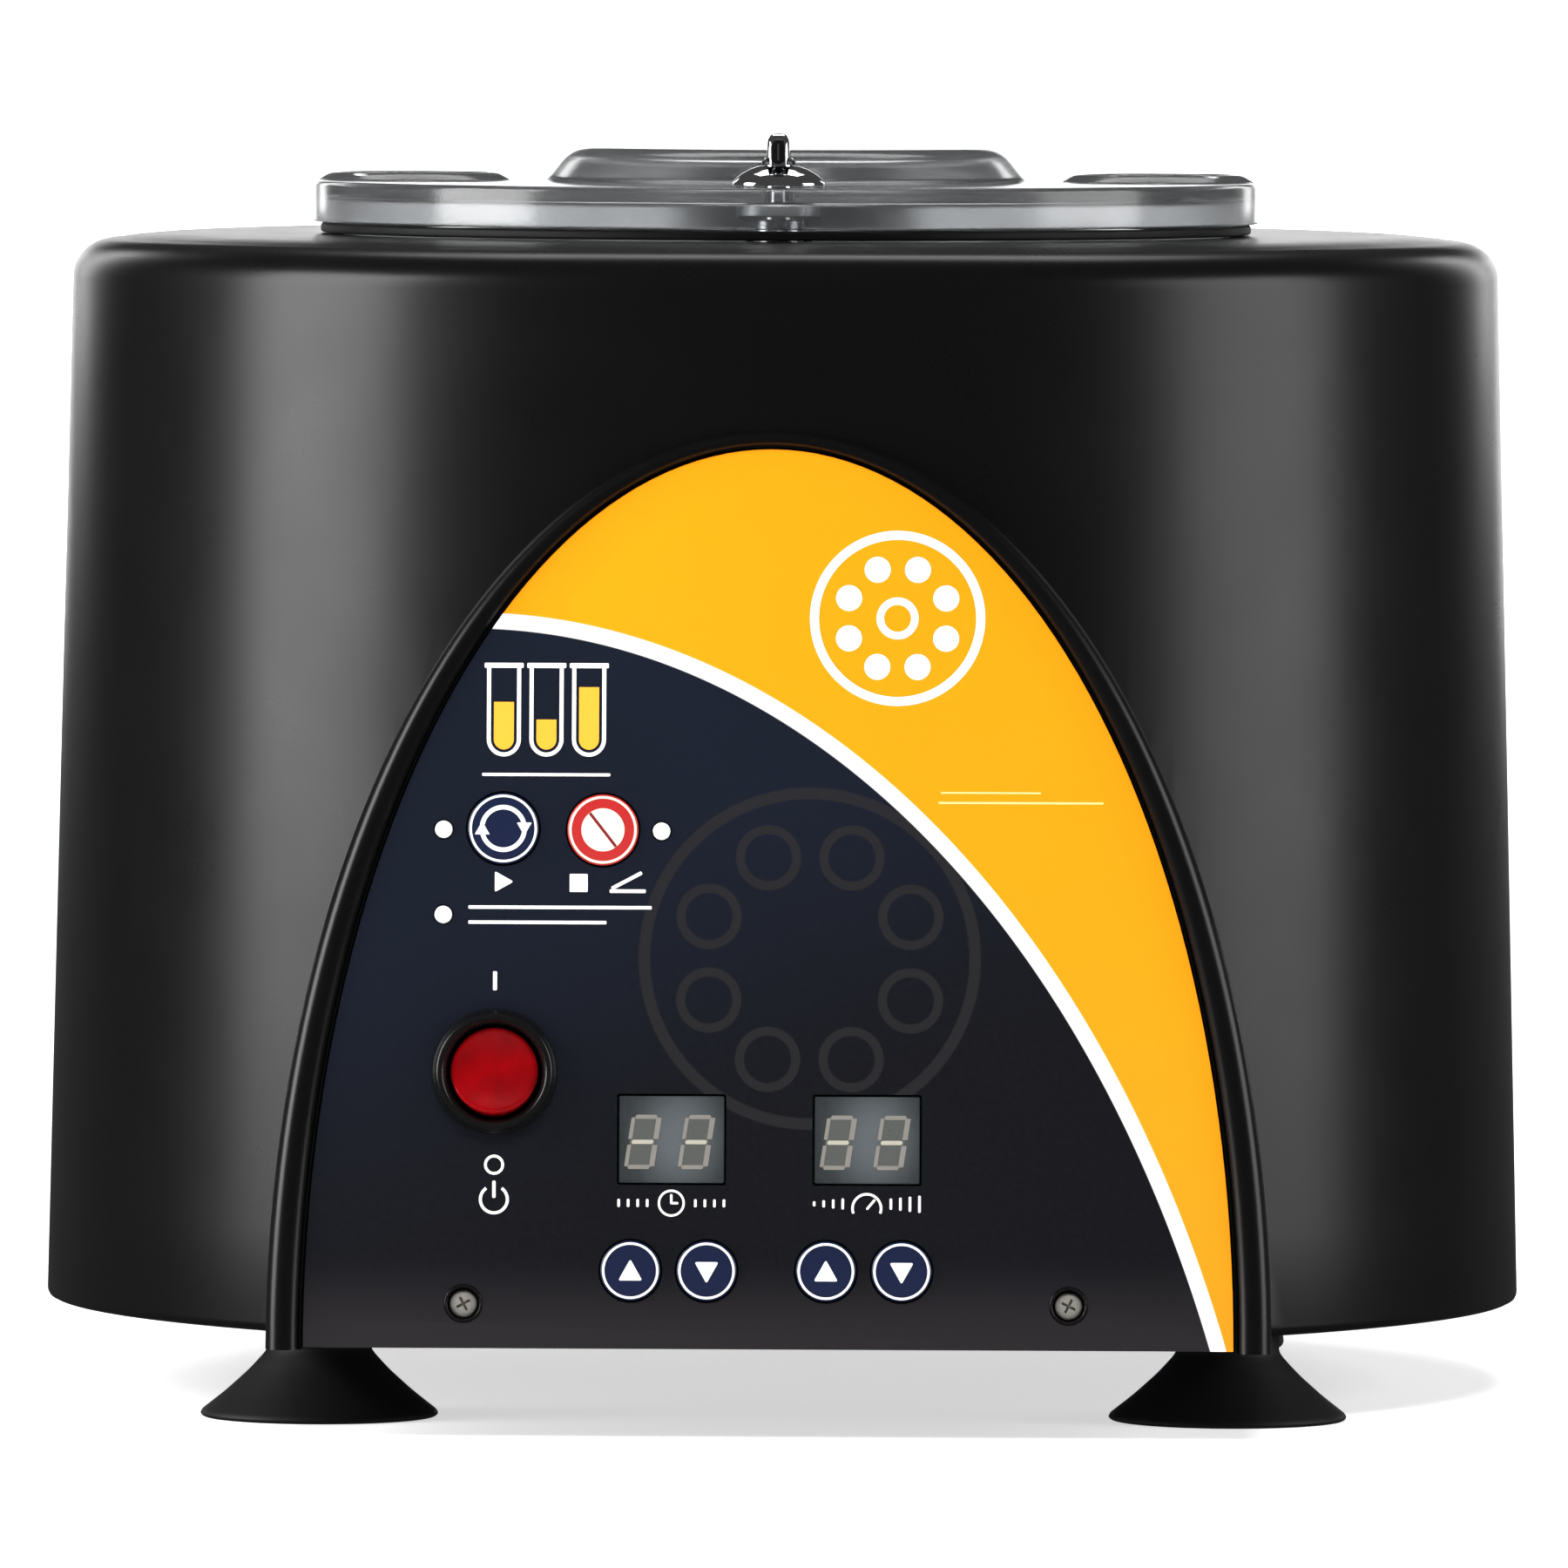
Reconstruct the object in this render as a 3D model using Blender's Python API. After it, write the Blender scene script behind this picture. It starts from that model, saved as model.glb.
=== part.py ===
"""A benchtop clinical centrifuge: drum housing, arched front panel, clear hinged lid and fixed-angle rotor.

Metres, +Z up, front towards -Y. The origin lies on the table, under the middle of the object's box.
"""

import math

import bmesh
import bpy
from mathutils import Matrix, Vector

# Driving dimensions: the housing
DRUM_RADIUS = 0.1525  # half the width, at the foot of the drum
DRAFT = math.radians(1.34)  # the drum narrows towards the top
BASE_Z = 0.018
SHOULDER_Z = 0.229
DECK_Z = 0.238
CORNER_WIDTH = 0.0085
CORNER_RISE = 0.0079
CROWN_INSET = 0.0206
REAR_STRETCH = 0.0225  # the rear half of the plan is this much longer than the round front half
WALL = 0.0035
GAP = 0.0003  # between pieces that touch
FIT = 0.0004  # around pieces that sit in a hole
DRUM_SIDES = 56

# The arched front panel leans back against the drum
PANEL_REACH = 0.0100  # how far its foot stands in front of the drum
PANEL_LEAN = math.radians(4.5)
PANEL_FOOT_Z = 0.0185
LABEL_HALF_WIDTH = 0.0928
LABEL_HEIGHT = 0.1797
ARCH_HALF_WIDTH = 0.1004
ARCH_HEIGHT = 0.1838
LIP_RISE = 0.0015
ARCH_STEPS = 24
LEDGE = 0.0045  # the step behind the label that the panel plate rests on

# The drum's axis sits off the middle of the box, because the rear reaches further than the front
DRUM_Y = (DRUM_RADIUS + PANEL_REACH + LIP_RISE - DRUM_RADIUS - REAR_STRETCH) / 2
PANEL_Y = DRUM_Y - DRUM_RADIUS - PANEL_REACH
REAR_Y = DRUM_Y + DRUM_RADIUS + REAR_STRETCH

# Chamber and rotor
OPENING_RADIUS = 0.076
BOWL_RADIUS = 0.108
BOWL_FLOOR_Z = 0.100
BOWL_WALL = 0.002
SHAFT_RADIUS = 0.004
TUBE_COUNT = 8
TUBE_ANGLE = math.radians(33)
MOUTH_RADIUS = 0.042
MOUTH_Z = 0.195
SLEEVE_RADIUS = 0.0096
SLEEVE_BORE = 0.0085
SLEEVE_LENGTH = 0.100
COLLAR_RADIUS = 0.0116
ROTOR_RADIUS = 0.069
HUB_RADIUS = 0.012

# Lid, hinge and latch
LID_RADIUS = 0.0979
LID_Z = 0.2405
LID_TOP_Z = 0.2490
PLATEAU_RADIUS = 0.0492
PLATEAU_Z = 0.2560
PORT_X = 0.077
PORT_RADIUS = 0.0195
HINGE_Y = DRUM_Y + 0.106
HINGE_Z = 0.246
HINGE_RADIUS = 0.005
PIN_RADIUS = 0.0025
LATCH_Y = DRUM_Y - 0.086
SPINDLE_RADIUS = 0.0029
BARREL_RADIUS = 0.005
CAM_REACH = 0.015
NOTCH_HALF_WIDTH = 0.00675
BOLT_Z = 0.225
BOLT_RADIUS = 0.00225

# Feet
FOOT_X = 0.092
FOOT_OFFSET_Y = 0.100
FOOT_RADIUS = 0.0242
REAR_FOOT_RADIUS = 0.0130

# Positions on the panel: across, and up from its foot
RUN_KEY = (-0.0533, 0.1037)
STOP_KEY = (-0.0334, 0.1035)
BIG_KEY_RADIUS = 0.0071
SMALL_KEYS = {
    "time_up_key": (-0.0275, 0.0156),
    "time_down_key": (-0.0123, 0.0156),
    "speed_up_key": (0.0115, 0.0156),
    "speed_down_key": (0.0266, 0.0156),
}
SMALL_KEY_RADIUS = 0.0060
LAMPS = {
    "run_lamp": (-0.0652, 0.1035),
    "stop_lamp": (-0.0217, 0.1033),
    "fault_lamp": (-0.0652, 0.0865),
}
LAMP_RADIUS = 0.00175
SWITCH = (-0.0548, 0.0551)
BEZEL_RADIUS = 0.01245
SWITCH_BODY_RADIUS = 0.0106
ROCKER_RADIUS = 0.0087
ROCKER_SWING = 0.00905  # the rocker stays inside a ball of this radius round its pivot
ROCKER_TILT = math.radians(10)
DISPLAYS = {"time_display": (-0.0194, 0.0418), "speed_display": (0.0196, 0.0418)}
DISPLAY_SIZE = (0.0210, 0.0174)
PANEL_SCREWS = {"panel_screw_left": (-0.0608, 0.0089), "panel_screw_right": (0.0599, 0.0089)}
SCREW_HEAD_RADIUS = 0.00285
SCREW_WELL_RADIUS = 0.0039
OVERLAY_THICKNESS = 0.0006
PLATE_TOP = -0.0009
PLATE_BACK = -0.0035

# Rear service recess
RECESS_HALF_WIDTH = 0.038
RECESS_Z = (0.032, 0.084)
RECESS_DEPTH = 0.005
INLET_X = -0.016
FUSE_X = 0.022
SERVICE_Z = 0.058

ROUND = 20
FINE_ROUND = 32
SLEEVE_SIDES = 12
KEY_SIDES = 14


# Shape tools


def circle(radius, z, sides, centre=(0, 0)):
    """Points of a level ring."""
    turn = [2 * math.pi * k / sides for k in range(sides)]
    return [Vector((centre[0] + radius * math.cos(a), centre[1] + radius * math.sin(a), z)) for a in turn]


def add_skin(bm, rings, closed=False):
    """Bridges rings of points. A ring of one point is a pole; open ends are capped."""
    made = [[bm.verts.new(point) for point in ring] for ring in rings]
    pairs = list(zip(made, made[1:]))
    if closed:
        pairs.append((made[-1], made[0]))
    sides = max(len(ring) for ring in made)
    for low, high in pairs:
        for k in range(sides):
            corners = []
            for ring, step in ((low, k), (low, k + 1), (high, k + 1), (high, k)):
                corner = ring[step % len(ring)]
                if corner not in corners:
                    corners.append(corner)
            if len(corners) > 2:
                bm.faces.new(corners)
    if not closed:
        for ring in (made[0], made[-1]):
            if len(ring) > 2:
                bm.faces.new(ring)
    bmesh.ops.recalc_face_normals(bm, faces=bm.faces)


def mesh_from(bm, name):
    mesh = bpy.data.meshes.new(name)
    bm.to_mesh(mesh)
    bm.free()
    return mesh


def skin(name, rings, closed=False):
    bm = bmesh.new()
    add_skin(bm, rings, closed)
    return bpy.data.objects.new(name, mesh_from(bm, name))


def turned_rings(profile, sides, centre=(0, 0)):
    """Rings of a turned shape from (radius, height) points; radius 0 makes a pole."""
    rings = []
    for radius, z in profile:
        if radius == 0:
            rings.append([Vector((centre[0], centre[1], z))])
        else:
            rings.append(circle(radius, z, sides, centre))
    return rings


def turned(name, profile, sides=ROUND, closed=False, centre=(0, 0)):
    return skin(name, turned_rings(profile, sides, centre), closed)


def tube(name, outer, inner, low, high, sides=ROUND):
    """A plain ring with square edges."""
    return turned(name, [(outer, low), (outer, high), (inner, high), (inner, low)], sides, closed=True)


def block(name, low, high):
    """A box between two corners."""
    bm = bmesh.new()
    bmesh.ops.create_cube(bm, size=1)
    size = Vector(high) - Vector(low)
    bmesh.ops.scale(bm, vec=size, verts=bm.verts)
    bmesh.ops.translate(bm, vec=(Vector(low) + Vector(high)) / 2, verts=bm.verts)
    return bpy.data.objects.new(name, mesh_from(bm, name))


def rods(name, places, radius, low, high, sides=ROUND):
    """Upright round rods at (x, y) places, in one mesh, for cutting holes."""
    bm = bmesh.new()
    for x, y in places:
        add_skin(bm, [circle(radius, low, sides, (x, y)), circle(radius, high, sides, (x, y))])
    return bpy.data.objects.new(name, mesh_from(bm, name))


def rod_along(name, axis, radius, low, high, centre, sides=ROUND):
    """A round rod from low to high along the X or the Y axis through centre."""
    turn = Matrix.Rotation(math.pi / 2, 4, "Y") if axis == "X" else Matrix.Rotation(-math.pi / 2, 4, "X")
    made = turned(name, [(radius, low), (radius, high)], sides)
    made.data.transform(Matrix.Translation(centre) @ turn)
    return made


def extruded(name, outline, low, high):
    """An outline of (y, z) points, extruded along X."""
    return skin(name, [[Vector((x, y, z)) for y, z in outline] for x in (low, high)])


def combine(target, operation, *others):
    """Cuts, joins or intersects with each other object, and keeps only the result."""
    scene = bpy.context.scene.collection
    scene.objects.link(target)
    for other in others:
        scene.objects.link(other)
        modifier = target.modifiers.new(operation.title(), "BOOLEAN")
        modifier.operation = operation
        modifier.solver = "EXACT"
        modifier.object = other
    bpy.context.view_layer.update()
    graph = bpy.context.evaluated_depsgraph_get()
    result = bpy.data.meshes.new_from_object(target.evaluated_get(graph))
    target.modifiers.clear()
    target.data = result
    scene.objects.unlink(target)
    for other in others:
        bpy.data.objects.remove(other)
    return target


def cut(target, *others):
    return combine(target, "DIFFERENCE", *others)


def join(target, *others):
    return combine(target, "UNION", *others)


def material(name, colour, roughness, metallic=0.0, alpha=1.0):
    made = bpy.data.materials.new(name)
    made.use_nodes = True
    shader = made.node_tree.nodes["Principled BSDF"]
    shader.inputs["Base Color"].default_value = (*colour, 1)
    shader.inputs["Roughness"].default_value = roughness
    shader.inputs["Metallic"].default_value = metallic
    shader.inputs["Alpha"].default_value = alpha
    made.diffuse_color = (*colour, alpha)
    return made


def empty(name, location, rotation=(0, 0, 0)):
    made = bpy.data.objects.new(name, None)
    made.location = location
    made.rotation_euler = rotation
    bpy.context.scene.collection.objects.link(made)
    return made


def place(made, finish, location=(0, 0, 0), parent=None, rotation=(0, 0, 0), smooth=True):
    """Puts a finished piece into the scene, with its origin where its parent or its location says."""
    made.location = location
    made.rotation_euler = rotation
    made.parent = parent
    made.data.materials.clear()
    made.data.materials.append(finish)
    if smooth:
        made.data.shade_smooth()
        made.data.set_sharp_from_angle(angle=math.radians(35))
    bpy.context.scene.collection.objects.link(made)
    return made


# Housing


def drum_radius(z):
    return DRUM_RADIUS - (min(z, SHOULDER_Z) - BASE_Z) * math.tan(DRAFT)


def drum_ring(inset, z):
    """The drum's plan at one height: round in front, slightly stretched behind."""
    radius = drum_radius(z) - inset
    points = []
    for point in circle(radius, z, DRUM_SIDES):
        if point.y > 0:
            point.y *= (radius + REAR_STRETCH) / radius
        points.append(point + Vector((0, DRUM_Y, 0)))
    return points


def drum_solid():
    levels = [(0.0010, BASE_Z), (0, BASE_Z + 0.0016), (0, SHOULDER_Z)]
    for step in range(1, 5):
        a = math.pi / 2 * step / 4
        levels.append((CORNER_WIDTH * (1 - math.cos(a)), SHOULDER_Z + CORNER_RISE * math.sin(a)))
    levels += [(0.0140, DECK_Z - 0.0004), (CROWN_INSET, DECK_Z)]
    return skin("drum", [drum_ring(inset, z) for inset, z in levels])


def drum_hollow():
    """The inside of the drum, less the thick pad that the service recess is cut into."""
    ceiling = DECK_Z - WALL
    levels = [(WALL, BASE_Z - 0.02), (WALL, BASE_Z), (WALL, SHOULDER_Z - 0.001)]
    levels += [(WALL + 0.0035, ceiling - 0.0020), (WALL + 0.0100, ceiling)]
    pad = block(
        "pad",
        (-RECESS_HALF_WIDTH - 0.003, REAR_Y - 0.0095, RECESS_Z[0] - 0.003),
        (RECESS_HALF_WIDTH + 0.003, REAR_Y + 0.05, RECESS_Z[1] + 0.003),
    )
    return cut(skin("hollow", [drum_ring(inset, z) for inset, z in levels]), pad)


def panel_matrix():
    """From the panel's own axes (across, up, outwards) to the object's."""
    turn = Matrix.Rotation(math.pi / 2 - PANEL_LEAN, 4, "X")
    return Matrix.Translation((0, PANEL_Y, PANEL_FOOT_Z)) @ turn


def arch(half_width, height, depth, drop=0.0):
    """Half an ellipse. With a drop it stands on straight legs that reach that far below the panel's foot."""
    angles = [math.pi * k / ARCH_STEPS for k in range(ARCH_STEPS + 1)]
    points = [Vector((half_width * math.cos(a), height * math.sin(a), depth)) for a in angles]
    if drop:
        points += [Vector((-half_width, -drop, depth)), Vector((half_width, -drop, depth))]
    return points


def arch_prism(name, half_width, height, low, high, drop=0.02):
    return skin(name, [arch(half_width, height, depth, drop) for depth in (low, high)])


def tongue_solid():
    """The wedge in front of the drum that frames the panel, with a rounded lip."""
    across = ARCH_HALF_WIDTH - LABEL_HALF_WIDTH
    up = ARCH_HEIGHT - LABEL_HEIGHT
    levels = [(0, -0.062), (0, -0.0025), (0.10, -0.0006), (0.28, 0.0008), (0.50, LIP_RISE)]
    rings = [arch(ARCH_HALF_WIDTH - t * across, ARCH_HEIGHT - t * up, z, 0.02) for t, z in levels]
    return skin("tongue", rings)


def latch_notch(low, high):
    """The notch in the rim of the chamber's opening that the latch drops through."""
    end = LATCH_Y - 0.007 + NOTCH_HALF_WIDTH
    slot = block("notch", (-NOTCH_HALF_WIDTH, end, low), (NOTCH_HALF_WIDTH, end + 0.020, high))
    return join(slot, rods("notch_end", [(0, end)], NOTCH_HALF_WIDTH, low, high, 16))


def housing_shell(finish):
    shell = join(drum_solid(), in_panel(tongue_solid()))
    cavity = in_panel(arch_prism("cavity", ARCH_HALF_WIDTH - WALL, ARCH_HEIGHT - WALL, -0.075, -0.008))
    pocket = in_panel(arch_prism("pocket", LABEL_HALF_WIDTH + FIT, LABEL_HEIGHT + FIT, -0.004, 0.010))
    window = in_panel(arch_prism("window", LABEL_HALF_WIDTH - LEDGE, LABEL_HEIGHT - LEDGE, -0.080, 0.012))
    mouth = rods("mouth", [(0, DRUM_Y)], OPENING_RADIUS, DECK_Z - 0.02, DECK_Z + 0.01, FINE_ROUND)
    floor = block("floor", (-0.3, -0.3, -0.05), (0.3, 0.3, BASE_Z))
    recess = block(
        "recess",
        (-RECESS_HALF_WIDTH, REAR_Y - RECESS_DEPTH, RECESS_Z[0]),
        (RECESS_HALF_WIDTH, REAR_Y + 0.02, RECESS_Z[1]),
    )
    inlet_hole = block(
        "inlet_hole",
        (INLET_X - 0.0146, REAR_Y - 0.03, SERVICE_Z - 0.0108),
        (INLET_X + 0.0146, REAR_Y, SERVICE_Z + 0.0108),
    )
    fuse_hole = rod_along("fuse_hole", "Y", 0.0064, -0.03, 0.01, (FUSE_X, REAR_Y, SERVICE_Z), 16)
    notch = latch_notch(DECK_Z - 0.02, DECK_Z + 0.01)
    shell = cut(shell, drum_hollow(), cavity, pocket, window, floor, mouth, notch)
    shell = cut(shell, recess, inlet_hole, fuse_hole)
    shell.name = "housing_shell"
    place(shell, finish)


def in_panel(made):
    """Moves a shape built in the panel's axes to where it stands on the object."""
    made.data.transform(panel_matrix())
    return made


def base_plate(finish):
    """The steel chassis plate: feet, motor and panel screws fasten to it."""
    low, high = BASE_Z + 0.0015, BASE_Z + 0.0035
    inset = WALL + 2 * FIT
    outline = drum_ring(inset, low)
    plate = skin("base_plate", [[Vector((p.x, p.y, z)) for p in outline] for z in (low, high)])
    front = PANEL_Y + 0.0060
    ledge_back = PANEL_Y + 0.0095
    half_width = ARCH_HALF_WIDTH - WALL - 2 * FIT
    plate = join(
        plate,
        block("tongue_floor", (-half_width, ledge_back, low), (half_width, DRUM_Y - 0.09, high)),
        block("tongue_nose", (-0.0865, front, low), (0.0865, DRUM_Y - 0.10, high)),
    )
    ears = []
    for name, (x, _) in PANEL_SCREWS.items():
        ears.append(block(name + "_ear", (x - 0.006, front, low + 0.0005), (x + 0.006, front + 0.002, 0.036)))
    plate = join(plate, *ears)
    screw_holes = []
    for name, (x, up) in PANEL_SCREWS.items():
        screw_holes.append(in_panel(rods(name + "_hole", [(x, up)], 0.0020, -0.03, 0.01, 12)))
    studs = rods("studs", [(x, y) for _, x, y in foot_places()], 0.0032, 0.0, 0.05, 12)
    vents = []
    for k in range(-3, 4):
        x = 0.014 * k
        low_corner, high_corner = (x - 0.002, DRUM_Y + 0.085, 0.0), (x + 0.002, DRUM_Y + 0.110, 0.05)
        vents.append(block(f"vent_{k}", low_corner, high_corner))
    place(cut(plate, studs, *screw_holes, *vents), finish, smooth=False)


def foot_places():
    places = []
    for end, side_y in (("front", -1), ("rear", 1)):
        for side, side_x in (("left", -1), ("right", 1)):
            places.append((f"foot_{end}_{side}", side_x * FOOT_X, DRUM_Y + side_y * FOOT_OFFSET_Y))
    return places


def feet(finish):
    """Suction cups in front and plain rubber feet behind, their studs going up through the base plate."""
    cup = [(0, 0.0046), (0.0120, 0.0030), (0.0205, 0), (FOOT_RADIUS, 0), (FOOT_RADIUS, 0.0010)]
    cup += [(0.0192, 0.0050), (0.0142, 0.0095), (0.0108, 0.0135), (0.0103, 0.0190)]
    plain = [(0, 0.0020), (0.0080, 0.0020), (0.0085, 0), (REAR_FOOT_RADIUS - 0.0008, 0)]
    plain += [(REAR_FOOT_RADIUS, 0.0010), (0.0110, 0.0190)]
    stud = [(0.0025, 0.0190), (0.0025, 0.0300), (0, 0.0300)]
    for name, x, y in foot_places():
        profile = cup if "front" in name else plain
        place(turned(name, profile + stud, ROUND), finish, (x, y, 0))


# Front panel pieces, in the panel's axes


def key_places():
    places = {"run_key": (RUN_KEY, BIG_KEY_RADIUS), "stop_key": (STOP_KEY, BIG_KEY_RADIUS)}
    for name, at in SMALL_KEYS.items():
        places[name] = (at, SMALL_KEY_RADIUS)
    return places


def panel_holes(label, low, high, screw_radius):
    """Cutters for everything that shows through the panel."""
    holes = []
    for name, (at, radius) in key_places().items():
        holes.append(rods(f"{label}_{name}", [at], radius + FIT, low, high, KEY_SIDES))
    holes.append(rods(f"{label}_lamps", LAMPS.values(), LAMP_RADIUS + GAP, low, high, 8))
    holes.append(rods(f"{label}_switch", [SWITCH], SWITCH_BODY_RADIUS + FIT, low, high))
    holes.append(rods(f"{label}_screws", PANEL_SCREWS.values(), screw_radius, low, high, 12))
    half_x, half_y = DISPLAY_SIZE[0] / 2 + FIT, DISPLAY_SIZE[1] / 2 + FIT
    for name, (x, y) in DISPLAYS.items():
        holes.append(block(f"{label}_{name}", (x - half_x, y - half_y, low), (x + half_x, y + half_y, high)))
    return holes


def panel_plate_and_overlay(frame, plate_finish, overlay_finish):
    overlay = skin(
        "panel_overlay",
        [arch(LABEL_HALF_WIDTH, LABEL_HEIGHT, z) for z in (-OVERLAY_THICKNESS, 0)],
    )
    overlay = cut(overlay, *panel_holes("overlay", -0.002, 0.002, SCREW_WELL_RADIUS))
    place(overlay, overlay_finish, parent=frame, smooth=False)
    plate = skin("control_panel", [arch(LABEL_HALF_WIDTH, LABEL_HEIGHT, z) for z in (PLATE_BACK, PLATE_TOP)])
    plate = cut(plate, *panel_holes("plate", -0.006, 0.002, 0.0020))
    wells = rods("wells", PANEL_SCREWS.values(), SCREW_WELL_RADIUS, -0.0024, 0.002, 12)
    place(cut(plate, wells), plate_finish, parent=frame, smooth=False)


def panel_screws(frame, finish):
    """Cross-recessed pan heads, sunk in wells."""
    profile = [(0, -0.0120), (0.0014, -0.0120), (0.0014, -0.0021), (SCREW_HEAD_RADIUS, -0.0021)]
    profile += [(SCREW_HEAD_RADIUS, -0.0011), (0.0021, -0.0004), (0, -0.0002)]
    for name, (x, y) in PANEL_SCREWS.items():
        screw = turned(name, profile, 12)
        arms = [((0.0016, 0.0003), "a"), ((0.0003, 0.0016), "b")]
        cross = [block(name + tag, (-sx, -sy, -0.0012), (sx, sy, 0.001)) for (sx, sy), tag in arms]
        place(cut(screw, *cross), finish, (x, y, 0), frame)


def keys(frame, finish, stop_finish):
    """Each key is a round cap on a stem, sliding straight into the panel."""
    for name, ((x, y), radius) in key_places().items():
        profile = [(0, -0.0090), (0.0025, -0.0090), (0.0025, -0.0012), (radius, -0.0012), (radius, 0.0003)]
        profile += [(radius - 0.0004, 0.0006), (0, 0.0006)]
        cap_finish = stop_finish if name == "stop_key" else finish
        place(turned(name, profile, KEY_SIDES), cap_finish, (x, y, 0), frame)


def lamps(frame, finish):
    for name, (x, y) in LAMPS.items():
        profile = [(0, -0.0070), (LAMP_RADIUS, -0.0070), (LAMP_RADIUS, 0.0002)]
        profile += [(0.0012, 0.0006), (0, 0.0008)]
        place(turned(name, profile, 8), finish, (x, y, 0), frame)


def displays(frame, finish):
    half_x, half_y = DISPLAY_SIZE[0] / 2, DISPLAY_SIZE[1] / 2
    for name, (x, y) in DISPLAYS.items():
        window = block(name, (-half_x, -half_y, -0.0090), (half_x, half_y, -0.0002))
        place(window, finish, (x, y, 0), frame, smooth=False)


def power_switch(frame, bezel_finish, rocker_finish):
    """A round snap-in rocker switch; the rocker's pivot runs across, level with the panel's face."""
    cup = [(0, -0.0240), (SWITCH_BODY_RADIUS, -0.0240), (SWITCH_BODY_RADIUS, 0.0003)]
    cup += [(BEZEL_RADIUS, 0.0003), (BEZEL_RADIUS, 0.0014), (0.0114, 0.0026), (0.0101, 0.0026)]
    cup += [(ROCKER_SWING + FIT, 0.0012), (ROCKER_SWING + FIT, -0.0100), (0, -0.0100)]
    place(turned("switch_bezel", cup, 24), bezel_finish, (*SWITCH, 0), frame)
    rocker = turned("power_rocker", [(ROCKER_RADIUS, -0.0070), (ROCKER_RADIUS, 0.0060)], 24)
    saddle = [(-0.010, -0.0065), (0.010, -0.0065), (0.010, 0.0030), (0.005, 0.0015), (0, 0.0010)]
    saddle += [(-0.005, 0.0015), (-0.010, 0.0030)]
    arc = [math.pi * k / 12 - math.pi / 2 for k in range(13)]
    ball = [(ROCKER_SWING * math.cos(a) if abs(a) < 1.57 else 0, ROCKER_SWING * math.sin(a)) for a in arc]
    swing = turned("swing", ball, 24)
    rocker = combine(rocker, "INTERSECT", extruded("saddle", saddle, -0.02, 0.02), swing)
    place(rocker, rocker_finish, (*SWITCH, 0), frame, rotation=(-ROCKER_TILT, 0, 0))


def control_board(frame, finish):
    board = block("control_board", (-0.066, 0.006, -0.0136), (0.066, 0.112, -0.0120))
    switch_space = block("switch_space", (-0.070, 0.040, -0.02), (-0.040, 0.070, 0))
    top_corner = block("top_corner", (0.030, 0.060, -0.02), (0.070, 0.120, 0))
    screw_space = rods("screw_space", PANEL_SCREWS.values(), 0.004, -0.02, 0, 12)
    place(cut(board, switch_space, top_corner, screw_space), finish, parent=frame, smooth=False)


# Chamber, rotor and motor


def chamber_bowl(finish):
    """The spun guard bowl, hung from the deck by its flange."""
    floor, wall, radius = BOWL_FLOOR_Z, BOWL_WALL, BOWL_RADIUS
    top = DECK_Z - WALL - GAP
    outer = [(0.0140, floor - wall), (0.0990, floor - wall), (0.1070, floor + 0.0025)]
    outer += [(radius + wall, floor + 0.012), (radius + wall, top - wall)]
    outer += [(radius + 0.010, top - wall), (radius + 0.010, top)]
    inner = [(radius, top), (radius, floor + 0.012), (0.1052, floor + 0.0040)]
    inner += [(0.0982, floor), (0.0140, floor)]
    bowl = turned("chamber_bowl", outer + inner, FINE_ROUND, closed=True)
    bolt_hole = rod_along("bolt_hole", "Y", BOLT_RADIUS + 0.0006, -0.125, -0.095, (0, 0, BOLT_Z), 16)
    place(cut(bowl, bolt_hole), finish, (0, DRUM_Y, 0))


def shaft_boot(finish):
    low, high, bore = BOWL_FLOOR_Z - 0.010, BOWL_FLOOR_Z + 0.006, SHAFT_RADIUS + FIT
    profile = [(bore, low), (0.0136, low), (0.0136, BOWL_FLOOR_Z + GAP), (0.0170, BOWL_FLOOR_Z + GAP)]
    profile += [(0.0170, BOWL_FLOOR_Z + 0.0020), (0.0100, BOWL_FLOOR_Z + 0.0020)]
    profile += [(0.0070, high), (bore, high)]
    place(turned("shaft_boot", profile, ROUND, closed=True), finish, (0, DRUM_Y, 0))


def cone_z(radius):
    """Height of the rotor's dished top, which lies square to every tube."""
    return MOUTH_Z + (radius - MOUTH_RADIUS) * math.tan(TUBE_ANGLE)


def tube_matrix(index):
    """Places a sleeve built upright, mouth at its origin: bottom leaned out, turned round the axis."""
    turn = Matrix.Rotation(2 * math.pi * (index + 0.5) / TUBE_COUNT, 4, "Z")
    lean = Matrix.Rotation(-TUBE_ANGLE, 4, "Y")
    return turn @ Matrix.Translation((MOUTH_RADIUS, 0, MOUTH_Z)) @ lean


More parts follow.
